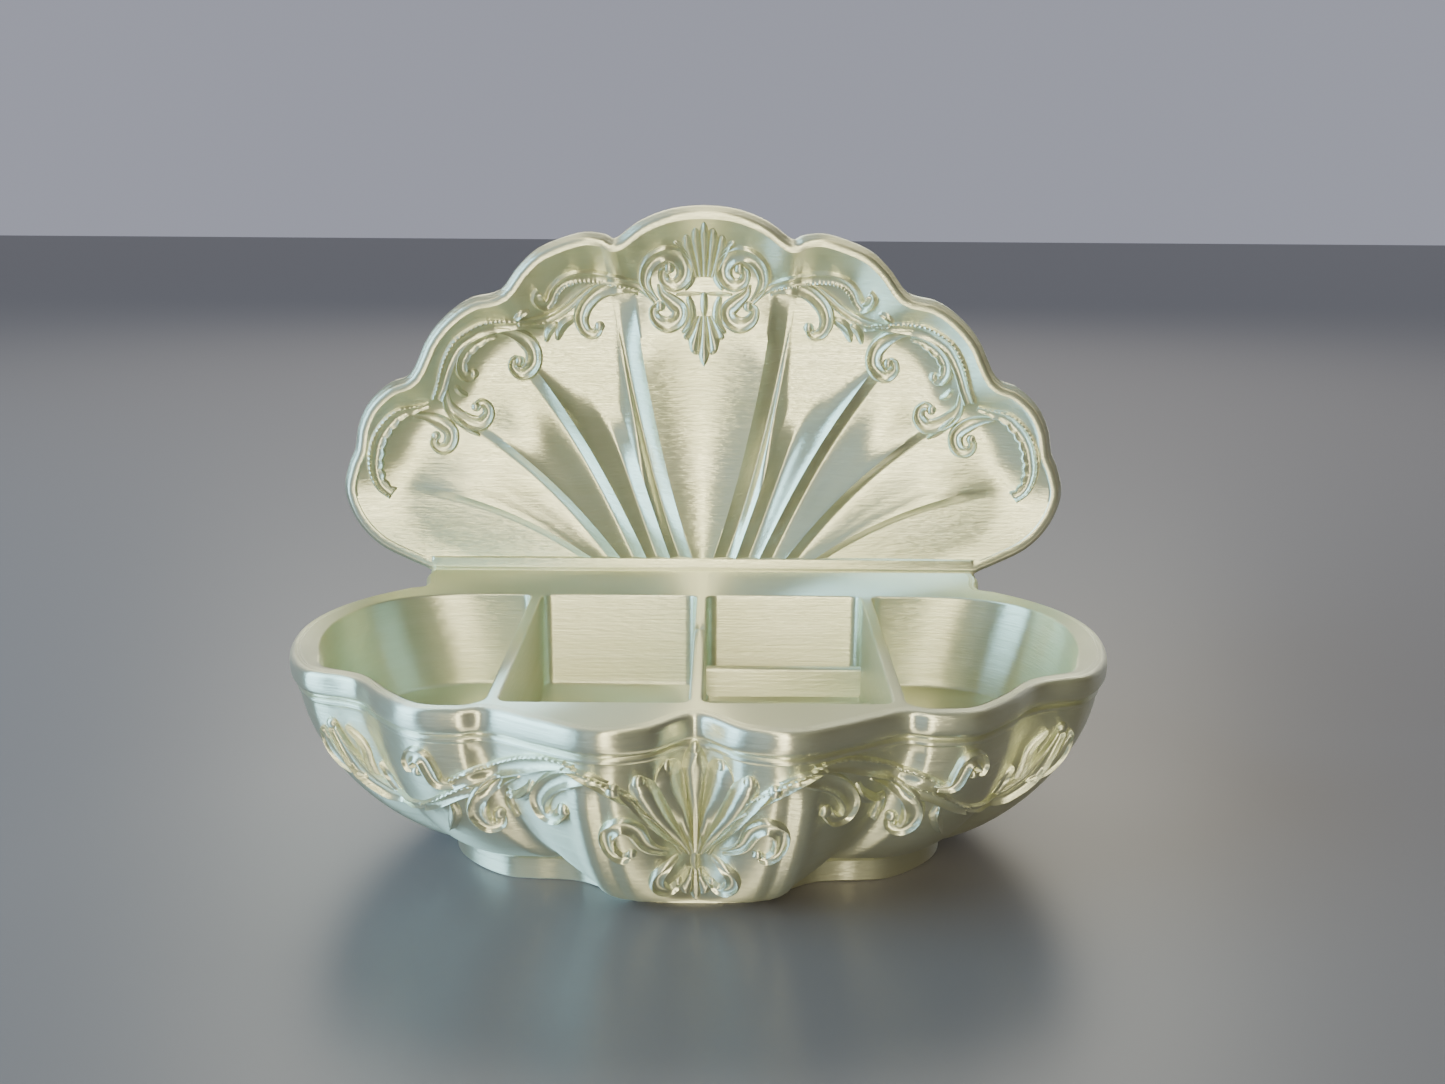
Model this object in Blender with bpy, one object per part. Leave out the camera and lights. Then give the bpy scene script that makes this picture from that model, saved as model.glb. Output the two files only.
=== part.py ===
"""Shell jewellery box whose lid stands open, printed in one piece of pearl-white silk plastic.

Metres, +Z up. The box faces -Y, stands on Z = 0, and its origin is under the middle of its box of space.
While it is being made, Y = 0 is the back edge of the base, and everything in front of it has a negative Y.
"""
from math import cos, exp, pi, sin

import bmesh
import bpy
from mathutils import Vector
from mathutils.bvhtree import BVHTree

MM = 0.001

# Base
BASE_WIDTH = 202.0 * MM
BASE_DEPTH = 127.5 * MM
RIM_HEIGHT = 52.0 * MM
BAND_HEIGHT = 6.2 * MM
BAND_UNDERCUT = 1.9 * MM
RIM_ROUNDING = 1.6 * MM
FOOT_WIDTH = 121.0 * MM
FOOT_HEIGHT = 6.5 * MM
FOOT_CREASE = 1.2 * MM
LOBE_FOOT = 0.1
BOWL_FULLNESS = 1.65
FLUTE_DEPTH = 1.5 * MM

# Compartments
FLOOR_HEIGHT = 26.0 * MM
END_WALL = 7.0 * MM
BACK_ROUND = 15.0 * MM
BACK_RUN = 25.0 * MM
LOBE_WALL = 3.4 * MM
BOWL_WALL = 2.6 * MM
FRONT_SLOPE = 4.5 * MM
FRONT_WALL = 17.0 * MM
DIVIDER = 3.0 * MM
MIDDLE_WIDTH = 42.0 * MM
CORNER_FLARE = 3.0 * MM
BAR_THICKNESS = 3.0 * MM
BAR_HEIGHT = 8.5 * MM
BAR_BEHIND = 6.0 * MM
BAR_PITCH = 27.0 * MM
BARS = 2

# Deck and lid
LID_SEAT = 6.0 * MM
DECK_DEPTH = 23.2 * MM
LID_WIDTH = 203.6 * MM
LID_HEIGHT = 102.3 * MM
RAIL_HEIGHT = 4.0 * MM
RAIL_FOOT = 0.6 * MM
LID_RIM = 2.6 * MM
RIM_STEP = 0.3 * MM
RIM_BEVEL = 1.0 * MM
BEVEL_DEPTH = 0.8 * MM
LID_ROLL = 1.1 * MM
LID_EDGE = 5.5 * MM
DISH_DEPTH = 11.0 * MM
DISH_SLOPE = 15.0 * MM
DISH_BOW = 8.0 * MM
LID_WALL = 3.0 * MM
FAN_START = 38.0 * MM
RIB_HEIGHT = 3.6 * MM
RIB_DROP = 3.8 * MM
RIB_SPREAD = 0.28
FAN_BEND = 10.6 * MM
BACK_FLUTE = 1.6 * MM

# Raised ornament
RELIEF = 1.3 * MM
SCROLL_WIDTH = 4.4 * MM
STATION = 5.2 * MM
RELIEF_ROOT = 2.2 * MM

# How far one shape runs into another that it is joined to
ROOT = 1.0 * MM

# The right half of the base from the middle of the back to the middle of the front. Each row is one place
# on the rim, then the place on the foot below it: across as a share of half the width of the rim or the
# foot, forward as a share of the depth of the base. BASE_NOTCHES are the rows between two lobes.
BASE_KEYS = (
    (0.000, 0.000, 0.00, 0.247),
    (0.700, 0.000, 0.64, 0.247),
    (0.780, 0.060, 0.82, 0.256),
    (0.768, 0.157, 0.90, 0.280),
    (0.812, 0.184, 0.95, 0.310),
    (0.895, 0.248, 0.98, 0.345),
    (0.960, 0.329, 1.00, 0.392),
    (0.997, 0.427, 1.01, 0.447),
    (0.997, 0.533, 1.01, 0.518),
    (0.967, 0.635, 1.00, 0.588),
    (0.901, 0.717, 0.95, 0.645),
    (0.781, 0.759, 0.85, 0.695),
    (0.703, 0.835, 0.75, 0.725),
    (0.614, 0.900, 0.65, 0.733),
    (0.515, 0.911, 0.54, 0.736),
    (0.446, 0.904, 0.45, 0.745),
    (0.340, 0.952, 0.36, 0.772),
    (0.215, 1.000, 0.24, 0.811),
    (0.095, 0.982, 0.12, 0.819),
    (0.000, 0.922, 0.00, 0.820),
)
BASE_NOTCHES = (11, 15, 19)

# The right half of the lid's outline from its foot to its top: across as a share of half the width, up as
# a share of the height above the deck.
LID_KEYS = (
    (0.776, -0.010),
    (0.781, 0.008),
    (0.830, 0.031),
    (0.914, 0.076),
    (0.972, 0.142),
    (1.000, 0.225),
    (0.985, 0.298),
    (0.965, 0.342),
    (0.953, 0.406),
    (0.921, 0.469),
    (0.866, 0.518),
    (0.801, 0.550),
    (0.749, 0.650),
    (0.691, 0.714),
    (0.629, 0.753),
    (0.550, 0.775),
    (0.496, 0.841),
    (0.437, 0.890),
    (0.334, 0.927),
    (0.275, 0.925),
    (0.236, 0.914),
    (0.167, 0.961),
    (0.088, 0.991),
    (0.000, 1.000),
)
LID_NOTCHES = (7, 11, 15, 20)

# Ribs inside the lid, from the outermost: the ridge's start along the rail as a share of FAN_START, the
# place on the outline that it runs to, counted in LID_KEYS, how far up its path it reaches, and how much
# of FAN_BEND its path bends towards the middle.
LID_RIBS = (
    (0.850, 5.2, 0.82, 1.00),
    (0.630, 10.2, 0.76, 1.00),
    (0.430, 13.8, 0.80, 0.64),
    (0.250, 17.1, 0.50, 0.00),
    (0.078, 20.0, 0.92, -0.57),
)


# Scrolls inside the lid, one side: the width as a share of SCROLL_WIDTH, then the middle line, across as a
# share of half the lid's width, up as a share of its height.
LID_SCROLLS = (
    (1.00, ((0.735, 0.500), (0.800, 0.452), (0.845, 0.440), (0.880, 0.410), (0.905, 0.365), (0.915, 0.315),
            (0.912, 0.275), (0.898, 0.238), (0.868, 0.212))),
    (0.85, ((0.820, 0.438), (0.775, 0.428), (0.735, 0.408), (0.712, 0.380), (0.722, 0.348), (0.748, 0.345))),
    (1.00, ((0.440, 0.676), (0.545, 0.688), (0.600, 0.680), (0.640, 0.662), (0.676, 0.634), (0.700, 0.598),
            (0.716, 0.560), (0.728, 0.518), (0.742, 0.476))),
    (1.00, ((0.585, 0.676), (0.540, 0.668), (0.505, 0.650), (0.480, 0.620), (0.476, 0.588), (0.492, 0.558),
            (0.520, 0.552))),
    (0.80, ((0.600, 0.655), (0.645, 0.627), (0.668, 0.595), (0.672, 0.562), (0.650, 0.540))),
    (0.90, ((0.722, 0.500), (0.712, 0.460), (0.690, 0.430), (0.655, 0.413), (0.624, 0.412), (0.606, 0.435),
            (0.612, 0.460))),
    (0.85, ((0.135, 0.750), (0.190, 0.795), (0.270, 0.815), (0.336, 0.818), (0.382, 0.805), (0.412, 0.780),
            (0.430, 0.748), (0.455, 0.744), (0.462, 0.768))),
    (1.00, ((0.190, 0.782), (0.232, 0.786), (0.280, 0.780), (0.312, 0.758), (0.336, 0.728), (0.342, 0.694),
            (0.326, 0.664), (0.298, 0.662))),
    (0.70, ((0.270, 0.806), (0.315, 0.788), (0.350, 0.760), (0.385, 0.728), (0.425, 0.706), (0.500, 0.694))),
    (0.95, ((0.108, 0.752), (0.142, 0.770), (0.168, 0.798), (0.174, 0.832), (0.158, 0.862), (0.126, 0.880),
            (0.094, 0.880), (0.066, 0.862), (0.053, 0.832), (0.062, 0.804))),
    (0.90, ((0.058, 0.770), (0.062, 0.732), (0.082, 0.704), (0.110, 0.694), (0.138, 0.704), (0.148, 0.728))),
)

# Leaves of the lid on its middle line: the root's height and width, then the tips, as the same shares.
LID_LEAVES = (
    (0.820, 0.060, ((-0.062, 0.920), (-0.034, 0.948), (0.0, 0.968), (0.034, 0.948), (0.062, 0.920))),
    (0.715, 0.040, ((-0.060, 0.655), (-0.034, 0.615), (0.0, 0.576), (0.034, 0.615), (0.060, 0.655))),
)

# Scrolls and leaves on the front of the base, one side: the width as a share of SCROLL_WIDTH, then the
# middle line, across as a share of half the base's width, up as a share of the rim's height.
BASE_SCROLLS = (
    (0.65, ((0.040, 0.360), (0.075, 0.540), (0.118, 0.636), (0.200, 0.744), (0.282, 0.818))),
    (0.85, ((0.100, 0.440), (0.118, 0.498), (0.140, 0.560), (0.166, 0.560), (0.182, 0.506), (0.178, 0.428),
            (0.150, 0.385))),
    (0.95, ((0.180, 0.745), (0.222, 0.772), (0.256, 0.766), (0.290, 0.738), (0.318, 0.682), (0.332, 0.612),
            (0.318, 0.552), (0.290, 0.545))),
    (0.80, ((0.415, 0.600), (0.385, 0.585), (0.358, 0.640), (0.346, 0.700))),
    (0.90, ((0.250, 0.806), (0.318, 0.798), (0.378, 0.758), (0.438, 0.706), (0.492, 0.676), (0.538, 0.632),
            (0.566, 0.660), (0.582, 0.720), (0.600, 0.772), (0.628, 0.742))),
    (1.00, ((0.400, 0.715), (0.438, 0.660), (0.462, 0.610), (0.480, 0.550), (0.480, 0.482), (0.460, 0.426))),
    (0.75, ((0.430, 0.670), (0.478, 0.624), (0.520, 0.598), (0.566, 0.550), (0.606, 0.490), (0.680, 0.420))),
    (1.00, ((0.650, 0.440), (0.700, 0.418), (0.738, 0.440), (0.780, 0.510), (0.815, 0.620), (0.846, 0.750))),
    (0.80, ((0.752, 0.470), (0.770, 0.560), (0.782, 0.660), (0.810, 0.755))),
)
PALMETTE = (0.325, 0.034, (
    (-0.160, 0.764), (-0.115, 0.772), (-0.060, 0.806), (0.0, 0.862), (0.060, 0.806), (0.115, 0.772), (0.160, 0.764),
))


def smooth(value):
    """Rise from 0 to 1 with level ends."""
    value = min(max(value, 0.0), 1.0)
    return value * value * (3.0 - 2.0 * value)


def along(keys, place):
    """Point at a place, counted in keys, on the smooth curve through the keys of a mirrored half."""
    last = len(keys) - 1
    start = min(int(place), last - 1)
    share = place - start
    before = keys[start - 1] if start > 0 else keys[0]
    after = keys[start + 2] if start + 2 <= last else mirrored(keys[last - 1])
    if start == 0 and keys[0][0] == 0.0:
        before = mirrored(keys[1])
    here, there = keys[start], keys[start + 1]
    point = []
    for a, b, c, d in zip(before, here, there, after):
        turn = 2.0 * a - 5.0 * b + 4.0 * c - d
        snap = 3.0 * b - a - 3.0 * c + d
        point.append(0.5 * (2.0 * b + (c - a) * share + turn * share ** 2 + snap * share ** 3))
    return point


def mirrored(key):
    """The same key on the other side of the middle. Every other number is a distance across."""
    return [-value if number % 2 == 0 else value for number, value in enumerate(key)]


def inward(points, closed=True):
    """Unit normals to the left of a path in its plane, which is inwards when it runs anticlockwise."""
    count = len(points)
    normals = []
    for number in range(count):
        before = points[number - 1] if closed or number > 0 else points[0]
        after = points[(number + 1) % count] if closed or number < count - 1 else points[-1]
        run = Vector((after[0] - before[0], after[1] - before[1])).normalized()
        normals.append(Vector((-run.y, run.x)))
    return normals


def skin(bm, rings):
    """Join rings of as many points each with a band of quads between each two."""
    loops = [[bm.verts.new(point) for point in ring] for ring in rings]
    for lower, upper in zip(loops, loops[1:]):
        for number in range(len(lower)):
            bm.faces.new((lower[number - 1], lower[number], upper[number], upper[number - 1]))
    return loops


def solid(name, bm, material):
    """Make an object of a closed bmesh, with its faces pointing out."""
    bmesh.ops.recalc_face_normals(bm, faces=bm.faces)
    mesh = bpy.data.meshes.new(name)
    bm.to_mesh(mesh)
    bm.free()
    mesh.materials.append(material)
    thing = bpy.data.objects.new(name, mesh)
    bpy.context.scene.collection.objects.link(thing)
    return thing


def helper(thing, collection):
    """Keep a solid as a tool: it is cut from or joined to the box, and isn't a piece."""
    bpy.context.scene.collection.objects.unlink(thing)
    collection.objects.link(thing)
    thing.hide_render = True
    thing.display_type = "WIRE"
    return thing


def silk_plastic():
    material = bpy.data.materials.new("pearl_silk_plastic")
    material.use_nodes = True
    shader = material.node_tree.nodes["Principled BSDF"]
    shader.inputs["Base Color"].default_value = (0.80, 0.80, 0.68, 1.0)
    shader.inputs["Roughness"].default_value = 0.32
    shader.inputs["Metallic"].default_value = 0.0
    return material


# Base

COLUMNS_A_KEY = 2


def base_keys():
    """The base's keys in metres: rim across, rim along, foot across, foot along."""
    half, foot = BASE_WIDTH / 2, FOOT_WIDTH / 2
    return [(rx * half, -ry * BASE_DEPTH, fx * foot, -fy * BASE_DEPTH) for rx, ry, fx, fy in BASE_KEYS]


def base_columns():
    """Rim point, foot point, how close to a notch and how much of a foot crease, all the way round."""
    keys = base_keys()
    last = len(keys) - 1
    half = []
    for step in range(last * COLUMNS_A_KEY + 1):
        place = step / COLUMNS_A_KEY
        nearest = min(abs(place - notch) for notch in BASE_NOTCHES)
        lobe = smooth((place - BASE_NOTCHES[1]) / 2.0)
        half.append((along(keys, place), max(0.0, 1.0 - nearest), 1.0 - lobe))
    left = [(mirrored(point), notch, crease) for point, notch, crease in half[1:-1]]
    return list(reversed(half)) + left


def base_solid(material):
    columns = base_columns()
    rim = [Vector(point[:2]) for point, notch, crease in columns]
    foot = [Vector(point[2:]) for point, notch, crease in columns]
    rim_in, foot_in = inward(rim), inward(foot)

    top = RIM_HEIGHT
    bowl_top = top - 1.4 * BAND_HEIGHT
    bowl = bowl_top - FOOT_HEIGHT

    def lowered(height):
        """Height under the front lobe, whose bowl goes on down to the table where the foot ends."""
        if height > bowl_top:
            return height
        if height < FOOT_HEIGHT:
            return LOBE_FOOT * height
        return height - (1.0 - LOBE_FOOT) * FOOT_HEIGHT * (bowl_top - height) / bowl

    def level(height, spread, inset, foot_inset=0.0, flute=0.0):
        ring = []
        for number, (point, notch, crease) in enumerate(columns):
            place = foot[number].lerp(rim[number], spread)
            normal = foot_in[number].lerp(rim_in[number], spread)
            place = place + normal * (inset + foot_inset * crease + flute * notch)
            ring.append((place.x, place.y, lowered(height) + (height - lowered(height)) * crease))
        return ring

    rings = [
        level(top, 1.0, RIM_ROUNDING),
        level(top - 0.3 * RIM_ROUNDING, 1.0, 0.3 * RIM_ROUNDING),
        level(top - RIM_ROUNDING, 1.0, 0.0),
        level(top - 0.85 * BAND_HEIGHT, 1.0, 0.0),
        level(top - BAND_HEIGHT, 1.0, BAND_UNDERCUT),
        level(top - 1.25 * BAND_HEIGHT, 1.0, 0.7 * BAND_UNDERCUT),
    ]
    levels = 7
    for step in range(levels):
        rise = (1.0 - step / levels) ** 1.6
        spread = (1.0 - (1.0 - rise) ** BOWL_FULLNESS) ** (1.0 / BOWL_FULLNESS)
        flute = FLUTE_DEPTH * smooth(4.0 * (1.0 - rise)) * smooth(6.0 * rise + 0.3)
        rings.append(level(FOOT_HEIGHT + bowl * rise, spread, BAND_UNDERCUT * spread, flute=flute))
    rings += [
        level(FOOT_HEIGHT, 0.0, 0.0, FOOT_CREASE),
        level(0.8 * FOOT_HEIGHT, 0.0, 0.0),
        level(0.0, 0.0, 0.0),
    ]
    bm = bmesh.new()
    loops = skin(bm, rings)
    bm.faces.new(loops[0])
    bm.faces.new(loops[-1])
    return solid("shell_box", bm, material)


# Compartments

def pocket(name, outline, floor, collection, material):
    """A cutter from above the rim down to the floor, which has an outline of its own, point for point."""
    above = RIM_HEIGHT + ROOT
    rings = [
        [(x, y, above) for x, y in outline],
        [(x, y, RIM_HEIGHT - 0.5 * BAND_HEIGHT) for x, y in outline],
        [(x, y, FLOOR_HEIGHT) for x, y in floor],
    ]
    bm = bmesh.new()
    loops = skin(bm, rings)
    bm.faces.new(loops[0])
    bm.faces.new(loops[-1])
    return helper(solid(name, bm, material), collection)


def flare(corner, before, after, steps=3):
    """Points that round a corner of an outline with the radius CORNER_FLARE."""
    corner, before, after = Vector(corner), Vector(before), Vector(after)
    into = (corner - before).normalized()
    out = (after - corner).normalized()
    start = corner - into * CORNER_FLARE
    end = corner + out * CORNER_FLARE
    points = []
    for step in range(steps + 1):
        share = step / steps
        bend = start.lerp(corner, share).lerp(corner.lerp(end, share), share)
        points.append((bend.x, bend.y))
    return points


def back_line():
    return -(LID_SEAT + DECK_DEPTH)


def front_line():
    return -(BASE_DEPTH - FRONT_WALL)


def middle_outline(side, front):
    """The outline of a middle compartment, anticlockwise, with its front at the given line."""
    near, far = sorted((side * DIVIDER / 2, side * (DIVIDER / 2 + MIDDLE_WIDTH)))
    corners = [(near, front), (far, front), (far, back_line()), (near, back_line())]
    outline = []
    for number, corner in enumerate(corners):
        outline += flare(corner, corners[number - 1], corners[(number + 1) % 4])
    return outline


def end_wall(forward):
    """The rim is wide round the ends and narrow behind the front lobes."""
    narrow = smooth((forward / BASE_DEPTH - 0.62) / 0.16)
    return END_WALL + (LOBE_WALL - END_WALL) * narrow


def bowl_share(height):
    """How far the bowl has spread from its foot to its rim at a height."""
    rise = (height - FOOT_HEIGHT) / (RIM_HEIGHT - 1.4 * BAND_HEIGHT - FOOT_HEIGHT)
    return (1.0 - (1.0 - rise) ** BOWL_FULLNESS) ** (1.0 / BOWL_FULLNESS)


def round_back(line):
    """The end wall runs into the back wall in one large curve."""
    divider = DIVIDER * 1.5 + MIDDLE_WIDTH
    kept = [point for point in line if point[1] < back_line() - BACK_ROUND]
    (near_x, near_y), (far_x, far_y) = kept[0], kept[1]
    corner_x = near_x + (near_x - far_x) / (near_y - far_y) * (back_line() - near_y)
    start = Vector((max(corner_x - BACK_RUN, divider + 1.2 * CORNER_FLARE), back_line()))
    corner = Vector((max(corner_x, start.x), back_line()))
    curve_points = []
    for step in range(7):
        share = step / 7
        bend = start.lerp(corner, share).lerp(corner.lerp(Vector(kept[0]), share), share)
        curve_points.append((bend.x, bend.y))
    return curve_points + kept


def end_outlines(side):
    """Outlines of an end compartment at the rim and at the floor: the divider, then the rim's own line
    drawn in by the wall and, below it, the bowl's."""
    keys = base_keys()
    places = [number / 2 for number in range(2 * 4, 2 * BASE_NOTCHES[1] + 1)]
    points = [along(keys, place) for place in places]
    rim = [Vector(point[:2]) for point in points]
    share = bowl_share(FLOOR_HEIGHT)
    bowl = [Vector(point[2:]).lerp(Vector(point[:2]), share) for point in points]
    divider = DIVIDER * 1.5 + MIDDLE_WIDTH
    wall, floor_wall = [], []
    for point, below, normal, normal_below in zip(rim, bowl, inward(rim, False), inward(bowl, False)):
        moved = point - normal * end_wall(-point.y)
        lower = below - normal_below * (BOWL_WALL + BAND_UNDERCUT + 0.5 * FLUTE_DEPTH)
        clear = moved.x > divider + CORNER_FLARE and moved.y < back_line() - 0.3 * CORNER_FLARE
        if clear and moved.y > front_line() - LOBE_WALL:
            wall.append((moved.x, moved.y))
            drawn_in = (max(lower.x, divider + CORNER_FLARE), min(lower.y, back_line() - 0.3 * CORNER_FLARE))
            floor_wall.append(drawn_in)
    rings = []
    for line, front in ((round_back(wall), front_line()), (round_back(floor_wall), front_line() + FRONT_SLOPE)):
        back_corner = flare((divider, back_line()), (divider, front), (line[0][0], back_line()))
        front_corner = flare((divider, front), line[-1], (divider, back_line()))
        ring = list(reversed(front_corner + back_corner + line))
        if side < 0:
            ring = [(-x, y) for x, y in reversed(ring)]
        rings.append(ring)
    return rings


def ring_bar(number, collection, material):
    """A low bar with a rounded top across the floor of the right middle compartment."""
    back = back_line() - BAR_BEHIND - number * BAR_PITCH
    front = back - BAR_THICKNESS
    rounding = BAR_THICKNESS / 3
    top = FLOOR_HEIGHT + BAR_HEIGHT
    section = [
        (front, FLOOR_HEIGHT - ROOT),
        (front, top - rounding),
        (front + rounding, top),
        (back - rounding, top),
        (back, top - rounding),
        (back, FLOOR_HEIGHT - ROOT),
    ]
    left = DIVIDER / 2 - ROOT
    right = DIVIDER / 2 + MIDDLE_WIDTH + ROOT
    bm = bmesh.new()
    loops = skin(bm, [[(x, y, z) for y, z in section] for x in (left, right)])
    bm.faces.new(loops[0])
    bm.faces.new(loops[1])
    return helper(solid("ring_bar_%d" % (number + 1), bm, material), collection)


# Lid

def lid_keys():
    return [(x * LID_WIDTH / 2, z * LID_HEIGHT) for x, z in LID_KEYS]


def fan_columns():
    """Columns of the right half from the rail's end to the middle.

    Each is the start along the rail, the place on the outline, the rib's height there, its reach and bend.
    """
    stops = [(1.0, 1.0, 0.0, 0.0, 0.0)]
    for ridge, place, reach, bend in LID_RIBS:
        stops.append((ridge + RIB_DROP / FAN_START, place - RIB_SPREAD, 0.0, reach, bend))
        stops.append((ridge, place + RIB_SPREAD, 1.0, reach, bend))
    stops.append((0.0, len(LID_KEYS) - 1.0, 0.35, LID_RIBS[-1][2], 0.0))
    columns = []
    for here, there in zip(stops, stops[1:]):
        between = 1 if here[2] == 0.0 and there[2] == 1.0 and here[1] != 1.0 else 5
        if here[2] == 1.0:
            between = 3
        for step in range(between):
            share = step / between
            column = [a + (b - a) * share for a, b in zip(here, there)]
            column[2] = here[2] + (there[2] - here[2]) * (1.0 - (1.0 - share) ** 1.6)
            columns.append(column)
    columns.append(list(stops[-1]))
    return columns


def fan_path(column):
    """Points along one column of the fan, from the rail to the rim's inner edge, as (across, up)."""
    start, place, rib, reach, turn = column
    keys = lid_keys()
    outline = Vector(along(keys, place))
    step = 0.05
    ahead = Vector(along(keys, min(place + step, len(keys) - 1.0)))
    behind = Vector(along(keys, max(place - step, 0.0)))
    run = (ahead - behind).normalized()
    normal = Vector((-run.y, run.x))
    if place >= len(keys) - 1.0:
        normal = Vector((0.0, -1.0))
    edge = outline + normal * LID_RIM
    edge.y = max(edge.y, RAIL_HEIGHT)
    begin = Vector((start * FAN_START, RAIL_HEIGHT))
    chord = (edge - begin).normalized()
    aside = Vector((-chord.y, chord.x)) * FAN_BEND * turn
    middle = (begin + edge) / 2 + aside
    return begin, middle, edge, outline, normal


def fan_point(path, travel):
    begin, middle, edge = path[:3]
    return begin.lerp(middle, travel).lerp(middle.lerp(edge, travel), travel)


def lid_depths(point, edge, column, travel):
    """Depth of the front and of the back of the lid behind the plane of its rim."""
    start, place, rib, reach, turn = column
    slope = 1.0 - (1.0 - min((point - edge).length / DISH_SLOPE, 1.0)) ** 2
    rise = 0.14 + 0.86 * smooth((point.y - RAIL_HEIGHT) / (0.42 * LID_HEIGHT))
    bow = DISH_BOW * (2.0 * point.x / LID_WIDTH) ** 2
    dish = (DISH_DEPTH - bow) * slope * rise
    fade = smooth((reach - travel) / 0.3)
    front = dish - RIB_HEIGHT * (1.0 - exp(-dish / RIB_HEIGHT)) * rib * fade
    before = max([notch for notch in (1,) + LID_NOTCHES if notch <= place], default=1)
    after = min([notch for notch in LID_NOTCHES if notch > place], default=2 * len(LID_KEYS) - 2 - before)
    lobe = sin(pi * (place - before) / (after - before))
    flute = BACK_FLUTE * lobe * smooth(1.4 * travel)
    back = dish + LID_WALL + (LID_EDGE - LID_WALL) * (1.0 - slope) + flute * slope
    return front, back


def lid_solid(collection, material):
    plane = -LID_SEAT
    right = fan_columns()
    columns = [(1.0, column) for column in right] + [(-1.0, column) for column in reversed(right[:-1])]
    travels = (0.0, 0.12, 0.28, 0.44, 0.6, 0.73, 0.84, 0.93, 1.0)
    front, back, edge_ring = {}, {}, {}
    for number, (side, column) in enumerate(columns):
        path = fan_path(column)
        for row, travel in enumerate(travels):
            point = fan_point(path, travel)
            near, far = lid_depths(point, path[2], column, travel)
            front[number, row] = Vector((side * point.x, plane + near + RIM_STEP, RIM_HEIGHT + point.y))
            back[number, row] = Vector((side * point.x, plane + far, RIM_HEIGHT + point.y))
            edge_ring[number, row] = (side, point, path[3], path[4])
    last_column, last_row = len(columns) - 1, len(travels) - 1
    loop = [(number, last_row) for number in range(last_column + 1)]
    loop += [(last_column, row) for row in range(last_row - 1, -1, -1)]
    loop += [(number, 0) for number in range(last_column - 1, -1, -1)]
    loop += [(0, row) for row in range(1, last_row)]

    def edge(spread, depth, rail_rise):
        ring = []
        for number, row in loop:
            side, point, outline, normal = edge_ring[number, row]
            if row == last_row:
                place = outline + normal * spread
                place.y = max(place.y, -ROOT)
            else:
                place = Vector((point.x, rail_rise))
            ring.append(Vector((side * place.x, plane + depth, RIM_HEIGHT + place.y)))
        return ring

    bm = bmesh.new()
    front_verts = {spot: bm.verts.new(point) for spot, point in front.items()}
    back_verts = {spot: bm.verts.new(point) for spot, point in back.items()}
    for number in range(last_column):
        for row in range(last_row):
            corners = ((number, row), (number + 1, row), (number + 1, row + 1), (number, row + 1))
            bm.faces.new([front_verts[corner] for corner in corners])
            bm.faces.new([back_verts[corner] for corner in reversed(corners)])
    rings = [
        edge(LID_RIM - RIM_STEP, 0.0, RAIL_HEIGHT - RIM_STEP),
        edge(RIM_BEVEL, 0.0, RAIL_FOOT),
        edge(0.0, BEVEL_DEPTH, -ROOT),
        edge(-LID_ROLL, 0.5 * LID_EDGE, -ROOT),
        edge(-0.3 * LID_ROLL, 0.9 * LID_EDGE, -ROOT),
    ]
    loops = [[bm.verts.new(point) for point in ring] for ring in rings]
    loops = [[front_verts[spot] for spot in loop]] + loops + [[back_verts[spot] for spot in loop]]
    for lower, upper in zip(loops, loops[1:]):
        for number in range(len(lower)):
            bm.faces.new((lower[number - 1], lower[number], upper[number], upper[number - 1]))
    return helper(solid("lid", bm, material), collection)


# Raised ornament

def surface_of(thing):
    """A function that gives the point and the normal of a solid's front at a place across and up."""
    mesh = thing.data
    corners = [vertex.co.copy() for vertex in mesh.vertices]
    tree = BVHTree.FromPolygons(corners, [tuple(face.vertices) for face in mesh.polygons])

    def surface(across, up):
        point, normal = tree.ray_cast(Vector((across, -10 * BASE_DEPTH, up)), Vector((0.0, 1.0, 0.0)))[:2]
        return point, normal
    return surface


def curve(points, step):
    """Points about a step apart on the smooth curve through the given points."""
    ends = [2 * points[0] - points[1]] + list(points) + [2 * points[-1] - points[-2]]
    fine = []
    for a, b, c, d in zip(ends, ends[1:], ends[2:], ends[3:]):
        for part in range(8):
            t = part / 8
            bend = (2 * a - 5 * b + 4 * c - d) * t * t + (3 * b - a - 3 * c + d) * t ** 3
            fine.append((2 * b + (c - a) * t + bend) / 2)
    fine.append(points[-1])
    length = sum((there - here).length for here, there in zip(fine, fine[1:]))
    count = max(2, round(length / step))
    path, run, wanted = [fine[0]], 0.0, length / count
    for here, there in zip(fine, fine[1:]):
        run += (there - here).length
        if run >= wanted * len(path) - 1e-9 and len(path) < count:
            path.append(there)
    path.append(fine[-1])
    return path


def scroll(name, surface, points, width, collection, material):
    """A raised ribbon with a ridge along it that widens from its start to a blunt end."""
    path = curve(points, STATION)
    spots = [surface(point.x, point.y) for point in path]
    rings = []
    for number, (point, normal) in enumerate(spots):
        before = spots[max(number - 1, 0)][0]
        after = spots[min(number + 1, len(spots) - 1)][0]
        aside = (after - before).normalized().cross(normal)
        share = number / (len(spots) - 1)
        half = width * (0.22 + 0.28 * smooth(3.0 * share))
        base = point - normal * RELIEF_ROOT
        rise = RELIEF * (0.5 + 0.5 * smooth(3.0 * share))
        rings.append([base - aside * half, point + normal * rise, base + aside * half])
    bm = bmesh.new()
    loops = skin(bm, rings)
    bm.faces.new(loops[0])
    bm.faces.new(loops[-1])
    return helper(solid(name, bm, material), collection)


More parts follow.
